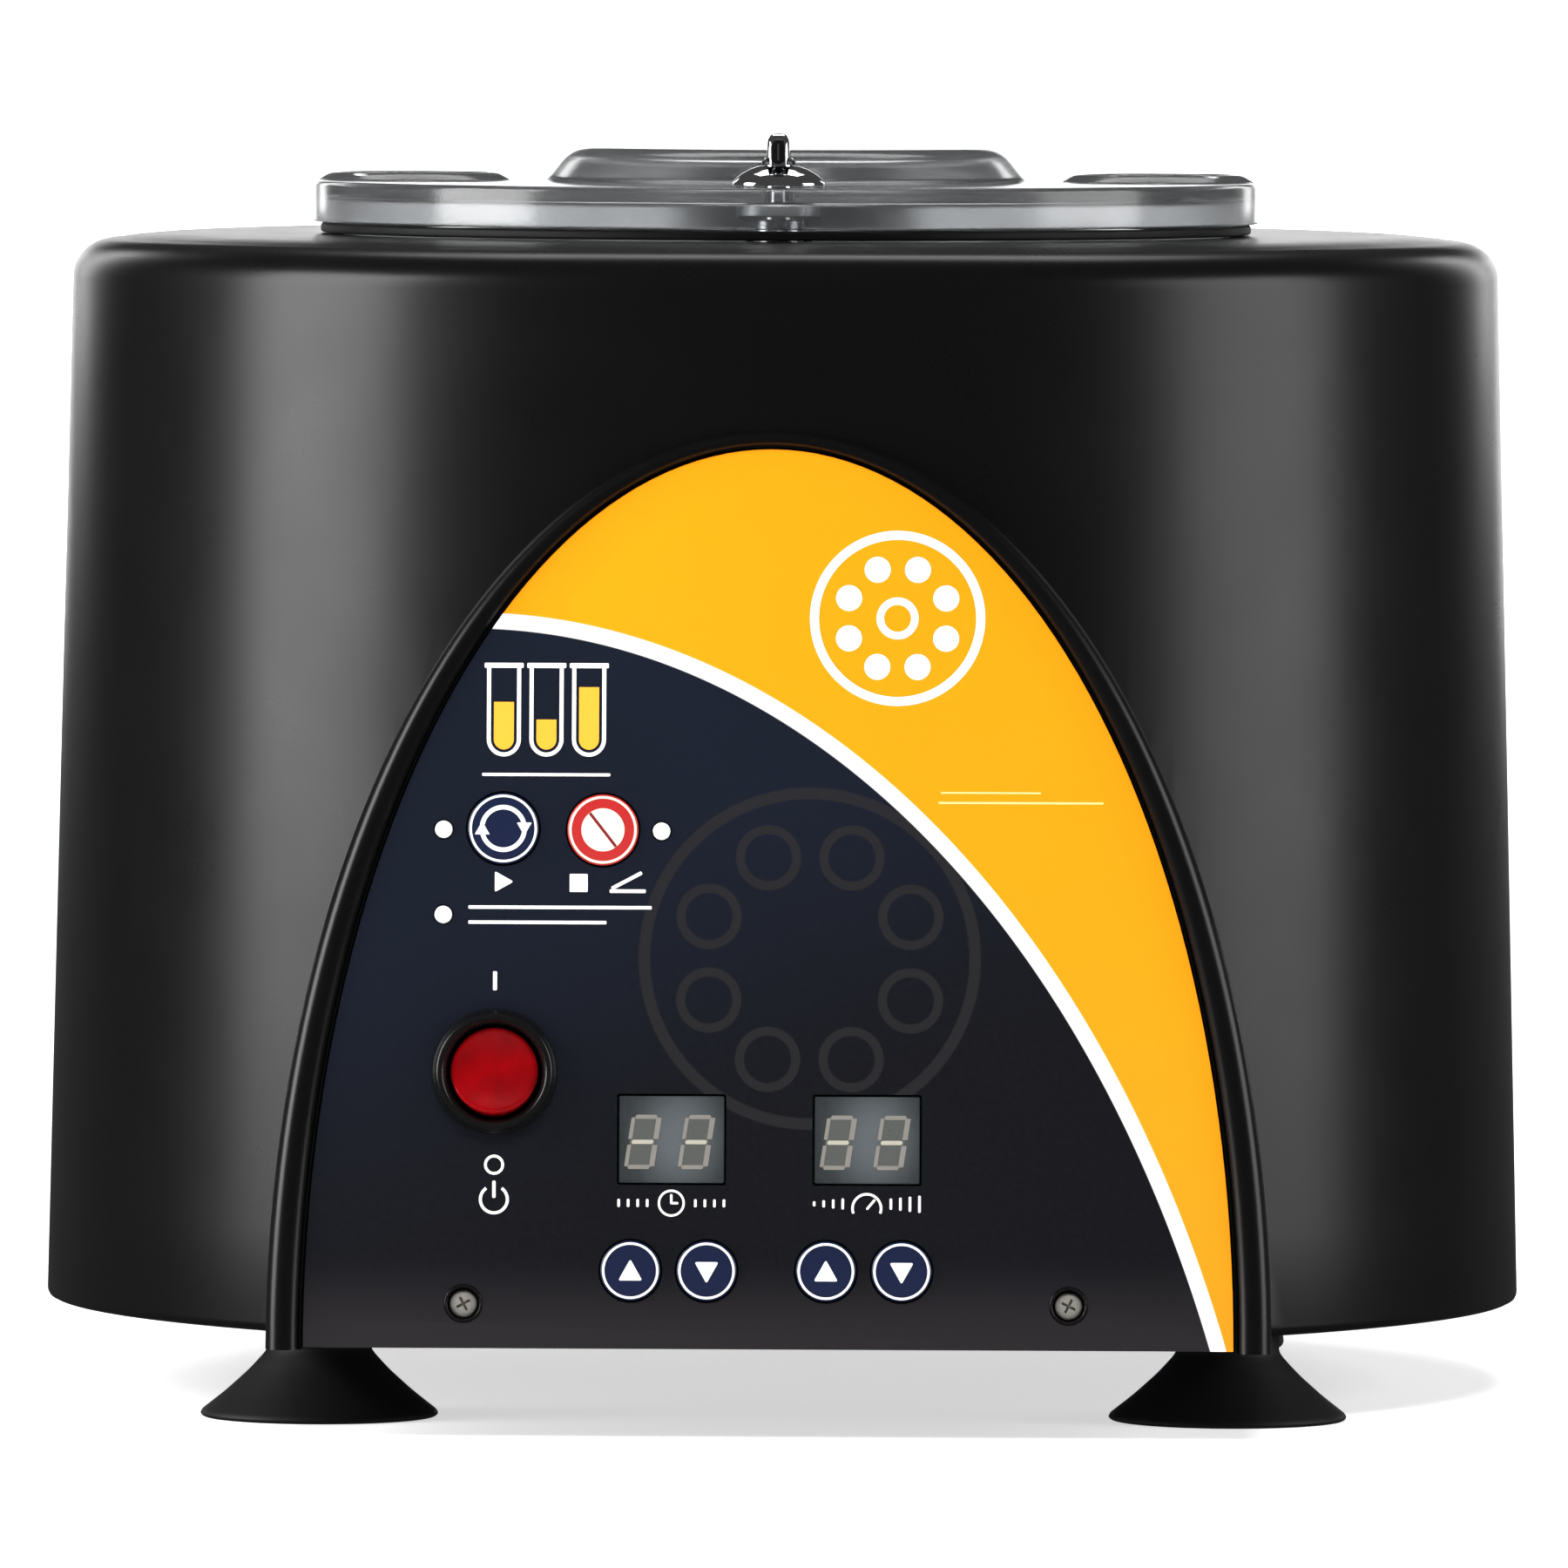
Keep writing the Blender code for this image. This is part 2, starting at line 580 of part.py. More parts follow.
def rotor_body(spin, finish):
    """A dished disc on a hub, with a stiffening rim and a spot-faced hole for each tube."""
    thickness = 0.004
    hub_low = cone_z(HUB_RADIUS) - 0.016
    hub_top = cone_z(HUB_RADIUS + 0.002)
    profile = [(SHAFT_RADIUS + FIT, hub_low), (HUB_RADIUS, hub_low)]
    profile += [(HUB_RADIUS, cone_z(HUB_RADIUS) - 0.006)]
    profile += [(HUB_RADIUS + 0.004, cone_z(HUB_RADIUS + 0.004) - thickness / math.cos(TUBE_ANGLE))]
    rim = cone_z(ROTOR_RADIUS)
    profile += [(ROTOR_RADIUS - 0.0035, rim - 0.0070), (ROTOR_RADIUS - 0.0035, rim - 0.0150)]
    profile += [(ROTOR_RADIUS, rim - 0.0150), (ROTOR_RADIUS, rim - 0.0012), (ROTOR_RADIUS - 0.0012, rim)]
    profile += [(HUB_RADIUS + 0.002, hub_top), (SHAFT_RADIUS + FIT, hub_top)]
    body = turned("rotor_body", profile, 3 * TUBE_COUNT, closed=True)
    bore, face = SLEEVE_RADIUS + GAP, COLLAR_RADIUS + FIT
    cutter = [(bore, -0.03), (bore, -0.0004), (face, -0.0004), (face, 0.02)]
    holes = []
    for k in range(TUBE_COUNT):
        hole = turned(f"tube_hole_{k}", cutter, SLEEVE_SIDES)
        hole.data.transform(tube_matrix(k))
        holes.append(hole)
    place(cut(body, *holes), finish, parent=spin)


def tube_sleeves(spin, finish):
    """Drop-in metal shields for 15 ml tubes; a collar rests on the rotor."""
    seat, lip = 0, 0.0018
    profile = [(0, -SLEEVE_LENGTH)]
    for step in (1, 2):
        a = math.pi / 2 * step / 2
        profile.append((SLEEVE_RADIUS * math.sin(a), -SLEEVE_LENGTH + SLEEVE_RADIUS * (1 - math.cos(a))))
    profile += [(SLEEVE_RADIUS, seat), (COLLAR_RADIUS, seat), (COLLAR_RADIUS, lip), (SLEEVE_BORE, lip)]
    floor = -SLEEVE_LENGTH + SLEEVE_RADIUS - SLEEVE_BORE
    for step in (2, 1):
        a = math.pi / 2 * step / 2
        profile.append((SLEEVE_BORE * math.sin(a), floor + SLEEVE_BORE * (1 - math.cos(a))))
    profile.append((0, floor))
    for k in range(TUBE_COUNT):
        sleeve = turned(f"tube_sleeve_{k + 1}", profile, SLEEVE_SIDES)
        sleeve.data.transform(tube_matrix(k))
        place(sleeve, finish, parent=spin)


def rotor_knob(spin, finish):
    """The fluted nut that holds the rotor on its shaft."""
    low = cone_z(HUB_RADIUS + 0.002) + GAP
    bore = SHAFT_RADIUS + FIT
    rings = []
    for radius, z in ((0.0085, low), (0.0100, low + 0.002), (0.0100, low + 0.012), (0.0085, low + 0.014)):
        ring = circle(radius, z, 32)
        for k, point in enumerate(ring):
            if k % 4 > 1:
                point.x *= 0.9
                point.y *= 0.9
        rings.append(ring)
    knob = skin("rotor_knob", rings)
    bored = rods("bore", [(0, 0)], bore, low - 0.01, low + 0.010, 16)
    place(cut(knob, bored), finish, parent=spin)


def motor(spin, metal, steel, rubber):
    can_low, can_high, can_radius, bore = 0.0300, 0.0835, 0.034, 0.0113
    shaft_top = cone_z(HUB_RADIUS + 0.002) + 0.008
    armature_radius, armature_low, armature_high = 0.0105, 0.0460, 0.0680
    shaft = [(0, 0.0320), (SHAFT_RADIUS, 0.0320), (SHAFT_RADIUS, armature_low)]
    shaft += [(armature_radius, armature_low), (armature_radius, armature_high)]
    shaft += [(SHAFT_RADIUS, armature_high), (SHAFT_RADIUS, shaft_top), (0, shaft_top)]
    place(turned("motor_shaft", shaft, 16), steel, parent=spin)
    can = [(bore, can_low), (can_radius - 0.002, can_low), (can_radius, can_low + 0.002)]
    can += [(can_radius, can_high - 0.002), (can_radius - 0.002, can_high), (bore, can_high)]
    place(turned("motor_can", can, ROUND, closed=True), metal, (0, DRUM_Y, 0))
    for name, low in (("motor_bearing_bottom", can_low + 0.003), ("motor_bearing_top", can_high - 0.010)):
        place(tube(name, bore - GAP, SHAFT_RADIUS + FIT, low, low + 0.007, 20), steel, (0, DRUM_Y, 0))
    plate = tube("motor_plate", 0.062, 0.016, can_high + GAP, can_high + GAP + 0.003, 36)
    place(plate, metal, (0, DRUM_Y, 0), smooth=False)
    low, high = BASE_Z + 0.0035 + GAP, can_high
    profile = [(0, low), (0.009, low), (0.009, low + 0.012), (0.005, low + 0.014), (0.005, high - 0.014)]
    profile += [(0.009, high - 0.012), (0.009, high), (0, high)]
    for k in range(3):
        a = math.radians(90 + 120 * k)
        at = (0.051 * math.cos(a), DRUM_Y + 0.051 * math.sin(a), 0)
        place(turned(f"motor_mount_{k + 1}", profile, 16), rubber, at)


# Lid, hinge, latch and lock


def gasket(finish):
    place(tube("lid_gasket", 0.0963, 0.0922, DECK_Z + GAP, LID_Z - GAP, FINE_ROUND), finish, (0, DRUM_Y, 0))


def lid_shell(pivot, finish):
    """The clear lid: a flat plate with a skirt, a raised middle and two round raised rims."""
    plate, skirt = 0.003, 0.0030
    profile = [(0, PLATEAU_Z), (PLATEAU_RADIUS - 0.0040, PLATEAU_Z)]
    profile += [(PLATEAU_RADIUS - 0.0015, PLATEAU_Z - 0.0012), (PLATEAU_RADIUS, PLATEAU_Z - 0.0034)]
    profile += [(PLATEAU_RADIUS + 0.0010, LID_TOP_Z)]
    profile += [(LID_RADIUS - 0.0012, LID_TOP_Z), (LID_RADIUS, LID_TOP_Z - 0.0012), (LID_RADIUS, LID_Z)]
    profile += [(LID_RADIUS - skirt, LID_Z), (LID_RADIUS - skirt, LID_TOP_Z - plate)]
    profile += [(PLATEAU_RADIUS - 0.0020, LID_TOP_Z - plate), (PLATEAU_RADIUS - 0.0030, PLATEAU_Z - 0.0045)]
    profile += [(PLATEAU_RADIUS - 0.0050, PLATEAU_Z - plate), (0, PLATEAU_Z - plate)]
    lid = turned("lid_shell", profile, 40)
    for side in (-1, 1):
        at, low = [(side * PORT_X, 0)], LID_TOP_Z - 0.001
        rim = rods("rim", at, PORT_RADIUS, low, LID_TOP_Z + 0.0018, 20)
        dish = rods("dish", at, PORT_RADIUS - 0.0028, low, LID_TOP_Z + 0.01, 20)
        lid = cut(join(lid, rim), dish)
    spindle_hole = rods("spindle_hole", [(0, LATCH_Y - DRUM_Y)], SPINDLE_RADIUS + FIT, 0.23, 0.26, 16)
    place(cut(lid, spindle_hole), finish, at_pivot(0, DRUM_Y, 0), pivot)


def at_pivot(x, y, z):
    """A place on the object, counted from the lid's hinge axis."""
    return (x, y - HINGE_Y, z - HINGE_Z)


def hinge(pivot, metal, steel):
    """A bracket screwed to the deck, a leaf on the lid and the pin between them."""
    ear_low, ear_high = 0.0205, 0.0235
    low, high = DECK_Z + GAP - HINGE_Z, DECK_Z + 0.0023 - HINGE_Z
    foot = block("hinge_bracket", (-0.026, -0.006, low), (0.026, 0.016, high))
    ears = []
    for side in (-1, 1):
        low, high = sorted((side * ear_low, side * ear_high))
        ears.append(block(f"ear_{side}", (low, -0.0048, DECK_Z + 0.0010 - HINGE_Z), (high, 0.0048, 0)))
        low, high = low - 0.0001, high + 0.0001
        ears.append(rod_along(f"ear_end_{side}", "X", HINGE_RADIUS, low, high, (0, 0, 0), 20))
    bore = rod_along("bore", "X", PIN_RADIUS + FIT, -0.03, 0.03, (0, 0, 0), 16)
    place(cut(join(foot, *ears), bore), metal, (0, HINGE_Y, HINGE_Z))
    half = ear_low - 0.0007
    knuckle = rod_along("hinge_leaf", "X", HINGE_RADIUS, -half, half, (0, 0, 0), 20)
    top = LID_TOP_Z + GAP - HINGE_Z
    strap = block("strap", (-half + 0.0002, -0.0250, top), (half - 0.0002, 0.0010, HINGE_RADIUS - 0.0002))
    bore = rod_along("bore", "X", PIN_RADIUS + FIT, -0.03, 0.03, (0, 0, 0), 16)
    place(cut(join(knuckle, strap), bore), metal, parent=pivot)
    pin = rod_along("hinge_pin", "X", PIN_RADIUS, -0.0262, 0.0262, (0, 0, 0), 16)
    head = rod_along("head", "X", 0.0038, 0.0239, 0.0268, (0, 0, 0), 16)
    place(join(pin, head), steel, (0, HINGE_Y, HINGE_Z))


def latch(pivot, chrome, steel):
    """Fixed dome and nut on the lid; the knob and the hooked cam below it turn together."""
    centre = at_pivot(0, LATCH_Y, 0)
    hole = SPINDLE_RADIUS + FIT
    dome = [(hole, LID_TOP_Z + GAP), (0.0095, LID_TOP_Z + GAP), (0.0093, 0.2504), (0.0079, 0.2518)]
    dome += [(0.0056, 0.2530), (hole, 0.2534)]
    place(turned("latch_dome", dome, 24, closed=True), chrome, centre, pivot)
    place(tube("latch_nut", 0.0085, hole, 0.2431, 0.2457, 24), steel, centre, pivot)
    turn = empty("latch_axis", centre)
    turn.parent = pivot
    spindle = turned("latch_knob", [(SPINDLE_RADIUS, 0.2336), (SPINDLE_RADIUS, 0.2560)], 16)
    grip = [(-0.0070, 0.2529), (-0.0032, 0.2539), (0.0032, 0.2539), (0.0070, 0.2529), (0.0070, 0.2572)]
    grip += [(0.0062, 0.2590), (0.0045, 0.2600), (-0.0045, 0.2600), (-0.0062, 0.2590), (-0.0070, 0.2572)]
    place(join(spindle, extruded("grip", grip, -0.0023, 0.0023)), chrome, parent=turn)
    socket = SPINDLE_RADIUS + FIT
    cam = [(0, 0.2330), (socket, 0.2330), (socket, 0.2427), (BARREL_RADIUS, 0.2427)]
    cam += [(BARREL_RADIUS, 0.2282), (0.0030, 0.2282), (0.0030, 0.2220), (BARREL_RADIUS, 0.2220)]
    cam += [(BARREL_RADIUS, 0.2195), (0, 0.2195)]
    hook = block("hook", (-0.0040, 0.0015, 0.2284), (0.0040, CAM_REACH, 0.2316))
    place(join(turned("latch_cam", cam, 20), hook), steel, parent=turn)


def lock(metal, steel, plastic):
    """Strike plate under the deck, and the solenoid whose bolt holds the latch down while the rotor runs."""
    strike = block("strike_plate", (-0.020, LATCH_Y - 0.018, 0.2320), (0.020, LATCH_Y + 0.0085, 0.2342))
    place(cut(strike, latch_notch(0.22, 0.24)), steel, smooth=False)
    body = block("lock_solenoid", (-0.015, DRUM_Y - 0.139, 0.2170), (0.015, DRUM_Y - 0.114, 0.2319))
    bore = rod_along("bore", "Y", BOLT_RADIUS + FIT, -0.134, -0.110, (0, DRUM_Y, BOLT_Z), 16)
    place(cut(body, bore), metal, smooth=False)
    bolt = rod_along("lock_bolt", "Y", BOLT_RADIUS, -0.0335, 0, (0, 0, 0), 16)
    place(bolt, steel, (0, DRUM_Y - 0.0965, BOLT_Z))
    sensor = block("lid_sensor", (0.034, DRUM_Y - 0.124, 0.2260), (0.046, DRUM_Y - 0.116, 0.2342))
    place(sensor, plastic, smooth=False)


# Rear service recess


def power_inlet(finish):
    """A three-pin appliance inlet, open to the rear."""
    low = REAR_Y - RECESS_DEPTH
    body = block("power_inlet", (-0.0136, -0.020, -0.0099), (0.0136, 0.0015, 0.0099))
    flange = block("flange", (-0.0160, GAP, -0.0120), (0.0160, 0.0025, 0.0120))
    socket = block("socket", (-0.0120, -0.0165, -0.0082), (0.0120, 0.0100, 0.0082))
    body = cut(join(body, flange), socket)
    pins = [(-0.007, -0.0020), (0.007, -0.0020), (0, 0.0020)]
    blades = []
    for k, (x, z) in enumerate(pins):
        blades.append(block(f"blade_{k}", (x - 0.001, -0.018, z - 0.002), (x + 0.001, -0.001, z + 0.002)))
    place(join(body, *blades), finish, (INLET_X, low, SERVICE_Z), smooth=False)


def fuse_holder(finish):
    profile = [(0, -0.028), (0.0060, -0.028), (0.0060, GAP), (0.0082, GAP), (0.0082, 0.0016)]
    profile += [(0.0066, 0.0020), (0.0066, 0.0046), (0, 0.0046)]
    made = turned("fuse_holder", profile, 24)
    made.data.transform(Matrix.Rotation(-math.pi / 2, 4, "X"))
    slot = block("slot", (-0.0040, 0.0036, -0.0006), (0.0040, 0.01, 0.0006))
    place(cut(made, slot), finish, (FUSE_X, REAR_Y - RECESS_DEPTH, SERVICE_Z))


def power_board(finish):
    """The upright supply board, with its transformer."""
    y = DRUM_Y + 0.118
    board = block("power_board", (-0.050, y, BASE_Z + 0.0060), (0.050, y + 0.0016, 0.092))
    transformer = block("transformer", (-0.040, y - 0.028, 0.030), (-0.004, y + 0.001, 0.066))
    place(join(board, transformer), finish, smooth=False)


def build():
    for old in list(bpy.data.objects):
        bpy.data.objects.remove(old)

    black = material("black_housing", (0.012, 0.012, 0.013), 0.42)
    panel_black = material("panel_black", (0.02, 0.02, 0.022), 0.5)
    overlay_navy = material("overlay_navy", (0.012, 0.018, 0.05), 0.35)
    key_navy = material("key_navy", (0.015, 0.035, 0.12), 0.4)
    key_red = material("key_red", (0.65, 0.03, 0.03), 0.4)
    rocker_red = material("rocker_red", (0.5, 0.005, 0.01), 0.2)
    lamp_white = material("lamp_white", (0.85, 0.85, 0.82), 0.3)
    display_grey = material("display_grey", (0.12, 0.15, 0.18), 0.25)
    rubber = material("black_rubber", (0.01, 0.01, 0.01), 0.8)
    steel = material("bright_steel", (0.6, 0.6, 0.6), 0.3, 1)
    plated = material("plated_sheet", (0.45, 0.45, 0.46), 0.4, 1)
    chrome = material("chrome", (0.8, 0.8, 0.8), 0.06, 1)
    alloy = material("rotor_alloy", (0.62, 0.63, 0.65), 0.35, 1)
    bowl_grey = material("bowl_grey", (0.5, 0.5, 0.5), 0.35, 1)
    clear = material("smoky_clear", (0.45, 0.46, 0.48), 0.1, 0, 0.45)
    board_green = material("board_green", (0.02, 0.12, 0.05), 0.5)

    housing_shell(black)
    base_plate(plated)
    feet(rubber)

    frame = empty("panel_frame", (0, PANEL_Y, PANEL_FOOT_Z), (math.pi / 2 - PANEL_LEAN, 0, 0))
    panel_plate_and_overlay(frame, panel_black, overlay_navy)
    panel_screws(frame, steel)
    keys(frame, key_navy, key_red)
    lamps(frame, lamp_white)
    displays(frame, display_grey)
    power_switch(frame, panel_black, rocker_red)
    control_board(frame, board_green)

    chamber_bowl(bowl_grey)
    shaft_boot(rubber)
    spin = empty("rotor_axis", (0, DRUM_Y, 0))
    rotor_body(spin, alloy)
    tube_sleeves(spin, steel)
    rotor_knob(spin, panel_black)
    motor(spin, plated, steel, rubber)

    gasket(rubber)
    pivot = empty("lid_pivot", (0, HINGE_Y, HINGE_Z))
    lid_shell(pivot, clear)
    hinge(pivot, plated, steel)
    latch(pivot, chrome, steel)
    lock(plated, steel, panel_black)

    power_inlet(panel_black)
    fuse_holder(panel_black)
    power_board(board_green)


build()
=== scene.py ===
"""The visible model of a benchtop centrifuge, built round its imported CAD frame.

Metres, +Z up, front towards -Y. Panel pieces are built in the panel's own axes: across, up, outwards.
"""

import math

import bmesh
import bpy
from mathutils import Matrix, Vector


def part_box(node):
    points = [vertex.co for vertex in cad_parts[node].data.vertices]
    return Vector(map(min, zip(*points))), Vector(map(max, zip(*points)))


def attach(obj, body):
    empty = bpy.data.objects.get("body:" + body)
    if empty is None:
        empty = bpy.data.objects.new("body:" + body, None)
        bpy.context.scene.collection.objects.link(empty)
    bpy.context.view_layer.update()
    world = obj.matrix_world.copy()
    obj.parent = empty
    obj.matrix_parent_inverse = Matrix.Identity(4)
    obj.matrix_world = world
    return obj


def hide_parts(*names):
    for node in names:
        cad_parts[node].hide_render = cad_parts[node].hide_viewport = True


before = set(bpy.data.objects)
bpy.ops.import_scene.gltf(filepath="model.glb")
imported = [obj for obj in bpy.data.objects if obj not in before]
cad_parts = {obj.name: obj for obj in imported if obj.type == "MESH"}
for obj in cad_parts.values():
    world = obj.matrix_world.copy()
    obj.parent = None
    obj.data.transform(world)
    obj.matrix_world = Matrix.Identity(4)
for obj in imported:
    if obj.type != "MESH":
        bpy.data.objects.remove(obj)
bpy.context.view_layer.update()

move = Matrix.Translation
QUARTER = math.pi / 2


def spin(angle, axis="Z"):
    return Matrix.Rotation(angle, 4, axis)


SIDE_ON = spin(QUARTER) @ spin(QUARTER, "X")

# Places taken from the CAD frame
DRUM_Y = (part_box("lid_gasket")[0].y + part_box("lid_gasket")[1].y) / 2
AXIS = (0, DRUM_Y)
HOUSING_LOW, HOUSING_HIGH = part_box("housing_shell")
BASE_Z = HOUSING_LOW.z
DECK_Z = HOUSING_HIGH.z
REAR_Y = HOUSING_HIGH.y
DRUM_RADIUS = HOUSING_HIGH.x
PANEL_FOOT = Vector((0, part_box("panel_overlay")[0].y, BASE_Z + 0.0005))
LABEL_HALF_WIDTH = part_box("panel_overlay")[1].x
HINGE = (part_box("hinge_leaf")[0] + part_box("hinge_leaf")[1]) / 2
HINGE.y, HINGE.z = [(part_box("hinge_pin")[0][k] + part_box("hinge_pin")[1][k]) / 2 for k in (1, 2)]
LATCH_Y = (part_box("latch_nut")[0].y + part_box("latch_nut")[1].y) / 2
LID_LOW, LID_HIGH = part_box("lid_shell")
LID_TOP = 0.2490

# The housing's own shape
DRAFT = math.radians(1.34)
SHOULDER_Z = DECK_Z - 0.0090
CORNER_WIDTH, CORNER_RISE, CROWN_INSET = 0.0085, 0.0079, 0.0206
REAR_STRETCH = REAR_Y - DRUM_Y - DRUM_RADIUS
WALL, GAP, FIT = 0.0035, 0.0003, 0.0004
OPENING_RADIUS = 0.076
PANEL_LEAN = math.radians(4.5)
LABEL_HEIGHT, ARCH_HALF_WIDTH, ARCH_HEIGHT = 0.1797, 0.1004, 0.1838
LIP_RISE = 0.0015
RECESS_HALF_WIDTH, RECESS_Z, RECESS_DEPTH = 0.038, (0.032, 0.084), 0.005
INLET_X, FUSE_X, SERVICE_Z = -0.016, 0.022, 0.058
PANEL = move(PANEL_FOOT) @ spin(QUARTER - PANEL_LEAN, "X")

DRUM_SIDES = 176
ARCH_STEPS = 96
TURNS = 96


# Shape tools


def circle(radius, z, sides, centre=(0, 0)):
    turn = [2 * math.pi * k / sides for k in range(sides)]
    return [Vector((centre[0] + radius * math.cos(a), centre[1] + radius * math.sin(a), z)) for a in turn]


def curve(radius, start, end, steps, at=(0, 0)):
    """Points along part of a circle, from start to end in radians."""
    turn = [start + (end - start) * k / steps for k in range(steps + 1)]
    return [(at[0] + radius * math.cos(a), at[1] + radius * math.sin(a)) for a in turn]


def add_skin(bm, rings, closed=False):
    """Bridges rings of points. A ring of one point is a pole, and open ends are capped."""
    made = [[bm.verts.new(point) for point in ring] for ring in rings]
    pairs = list(zip(made, made[1:]))
    if closed:
        pairs.append((made[-1], made[0]))
    sides = max(len(ring) for ring in made)
    for low, high in pairs:
        for k in range(sides):
            corners = []
            for ring, step in ((low, k), (low, k + 1), (high, k + 1), (high, k)):
                corner = ring[step % len(ring)]
                if corner not in corners:
                    corners.append(corner)
            if len(corners) > 2:
                bm.faces.new(corners)
    if not closed:
        for ring in (made[0], made[-1]):
            if len(ring) > 2:
                bm.faces.new(ring)
    bmesh.ops.recalc_face_normals(bm, faces=bm.faces)


def from_bmesh(bm):
    mesh = bpy.data.meshes.new("shape")
    bm.to_mesh(mesh)
    bm.free()
    return bpy.data.objects.new("shape", mesh)


def skin(rings, closed=False):
    bm = bmesh.new()
    add_skin(bm, rings, closed)
    return from_bmesh(bm)


def soften(points, size, steps=4, closed=False):
    """Rounds the corners of a line of points. A point's third number is its own rounding."""
    out = []
    for k, point in enumerate(points):
        if not closed and k in (0, len(points) - 1):
            out.append(tuple(point[:2]))
            continue
        before, here, after = (Vector(points[j % len(points)][:2]) for j in (k - 1, k, k + 1))
        wanted = point[2] if len(point) > 2 else size
        reach = min(wanted, (before - here).length * 0.48, (after - here).length * 0.48)
        if reach < 1e-6:
            out.append(tuple(here))
            continue
        start = here + (before - here).normalized() * reach
        end = here + (after - here).normalized() * reach
        for step in range(steps + 1):
            t = step / steps
            out.append(tuple(start * (1 - t) ** 2 + here * 2 * t * (1 - t) + end * t * t))
    return out


def turned(profile, sides=TURNS, closed=False, centre=(0, 0)):
    """A turned shape from (radius, height) points; radius 0 makes a pole."""
    rings = []
    for radius, z in profile:
        if abs(radius) < 1e-9:
            rings.append([Vector((centre[0], centre[1], z))])
        else:
            rings.append(circle(radius, z, sides, centre))
    return skin(rings, closed)


def prism(outline, low, high, edge=0.0, steps=3):
    """A flat outline of (x, y) points, raised from low to high, with rounded upper and lower edges."""
    points = [Vector(point) for point in outline]
    area = sum(a.x * b.y - b.x * a.y for a, b in zip(points, points[1:] + points[:1]))
    if area < 0:
        points.reverse()
    inward = []
    for k, here in enumerate(points):
        before, after = points[k - 1], points[(k + 1) % len(points)]
        one, two = (here - before).normalized(), (after - here).normalized()
        n1, n2 = Vector((-one.y, one.x)), Vector((-two.y, two.x))
        middle = (n1 + n2).normalized()
        inward.append(middle / max(0.4, middle.dot(n1)))

    def ring(inset, z):
        return [Vector((p.x + n.x * inset, p.y + n.y * inset, z)) for p, n in zip(points, inward)]

    if edge <= 0:
        return skin([ring(0, low), ring(0, high)])
    turn = [math.pi / 2 * k / steps for k in range(steps + 1)]
    rings = [ring(edge * (1 - math.sin(a)), low + edge * (1 - math.cos(a))) for a in turn]
    rings += [ring(edge * (1 - math.cos(a)), high - edge * (1 - math.sin(a))) for a in turn]
    return skin(rings)


def rectangle(half_x, half_y, radius=0.0, at=(0, 0), steps=5):
    """The outline of a rectangle with rounded corners."""
    if radius <= 0:
        return [(at[0] + sx * half_x, at[1] + sy * half_y) for sx, sy in ((1, 1), (-1, 1), (-1, -1), (1, -1))]
    points = []
    for quarter, (sx, sy) in enumerate(((1, 1), (-1, 1), (-1, -1), (1, -1))):
        for step in range(steps + 1):
            a = math.pi / 2 * (quarter + step / steps)
            x = sx * (half_x - radius) + radius * math.cos(a)
            points.append((at[0] + x, at[1] + sy * (half_y - radius) + radius * math.sin(a)))
    return points


def turn_up(made, matrix):
    made.data.transform(matrix)
    return made


def combine(target, operation, *others):
    """Cuts, joins or intersects with each other object, and keeps only the result."""
    scene = bpy.context.scene.collection
    scene.objects.link(target)
    for other in others:
        scene.objects.link(other)
        modifier = target.modifiers.new(operation.title(), "BOOLEAN")
        modifier.operation = operation
        modifier.solver = "EXACT"
        modifier.object = other
    bpy.context.view_layer.update()
    graph = bpy.context.evaluated_depsgraph_get()
    result = bpy.data.meshes.new_from_object(target.evaluated_get(graph))
    target.modifiers.clear()
    target.data = result
    scene.objects.unlink(target)
    for other in others:
        bpy.data.objects.remove(other)
    return target


def cut(target, *others):
    return combine(target, "DIFFERENCE", *others)


def join(target, *others):
    return combine(target, "UNION", *others)


def block(low, high, edge=0.0, segments=3):
    """A box between two corners, with rounded edges."""
    bm = bmesh.new()
    bmesh.ops.create_cube(bm, size=1)
    bmesh.ops.scale(bm, vec=Vector(high) - Vector(low), verts=bm.verts)
    bmesh.ops.translate(bm, vec=(Vector(low) + Vector(high)) / 2, verts=bm.verts)
    if edge > 0:
        bmesh.ops.bevel(bm, geom=bm.edges[:], offset=edge, segments=segments, profile=0.5, affect="EDGES")
    return from_bmesh(bm)


def merge(*parts):
    """One object from (object, material) parts that stay separate shells."""
    bm = bmesh.new()
    finishes = []
    for made, finish in parts:
        if finish not in finishes:
            finishes.append(finish)
        start = len(bm.faces)
        bm.from_mesh(made.data)
        bm.faces.ensure_lookup_table()
        for face in bm.faces[start:]:
            face.material_index = finishes.index(finish)
        bpy.data.objects.remove(made)
    merged = from_bmesh(bm)
    for finish in finishes:
        merged.data.materials.append(finish)
    return merged


def show(made, name, body, slot, *nodes, finish=None, matrix=None, angle=35):
    """Links a finished piece, smooths it, hangs it on the body it rides on, and hides the CAD nodes it stands
    for.
    """
    made.name = name
    if finish is not None:
        made.data.materials.clear()
        made.data.materials.append(finish)
    made.data.shade_smooth()
    made.data.set_sharp_from_angle(angle=math.radians(angle))
    bpy.context.scene.collection.objects.link(made)
    if matrix is not None:
        made.matrix_world = matrix
    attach(made, body)
    if nodes:
        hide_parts(*nodes)
    return made


# Materials


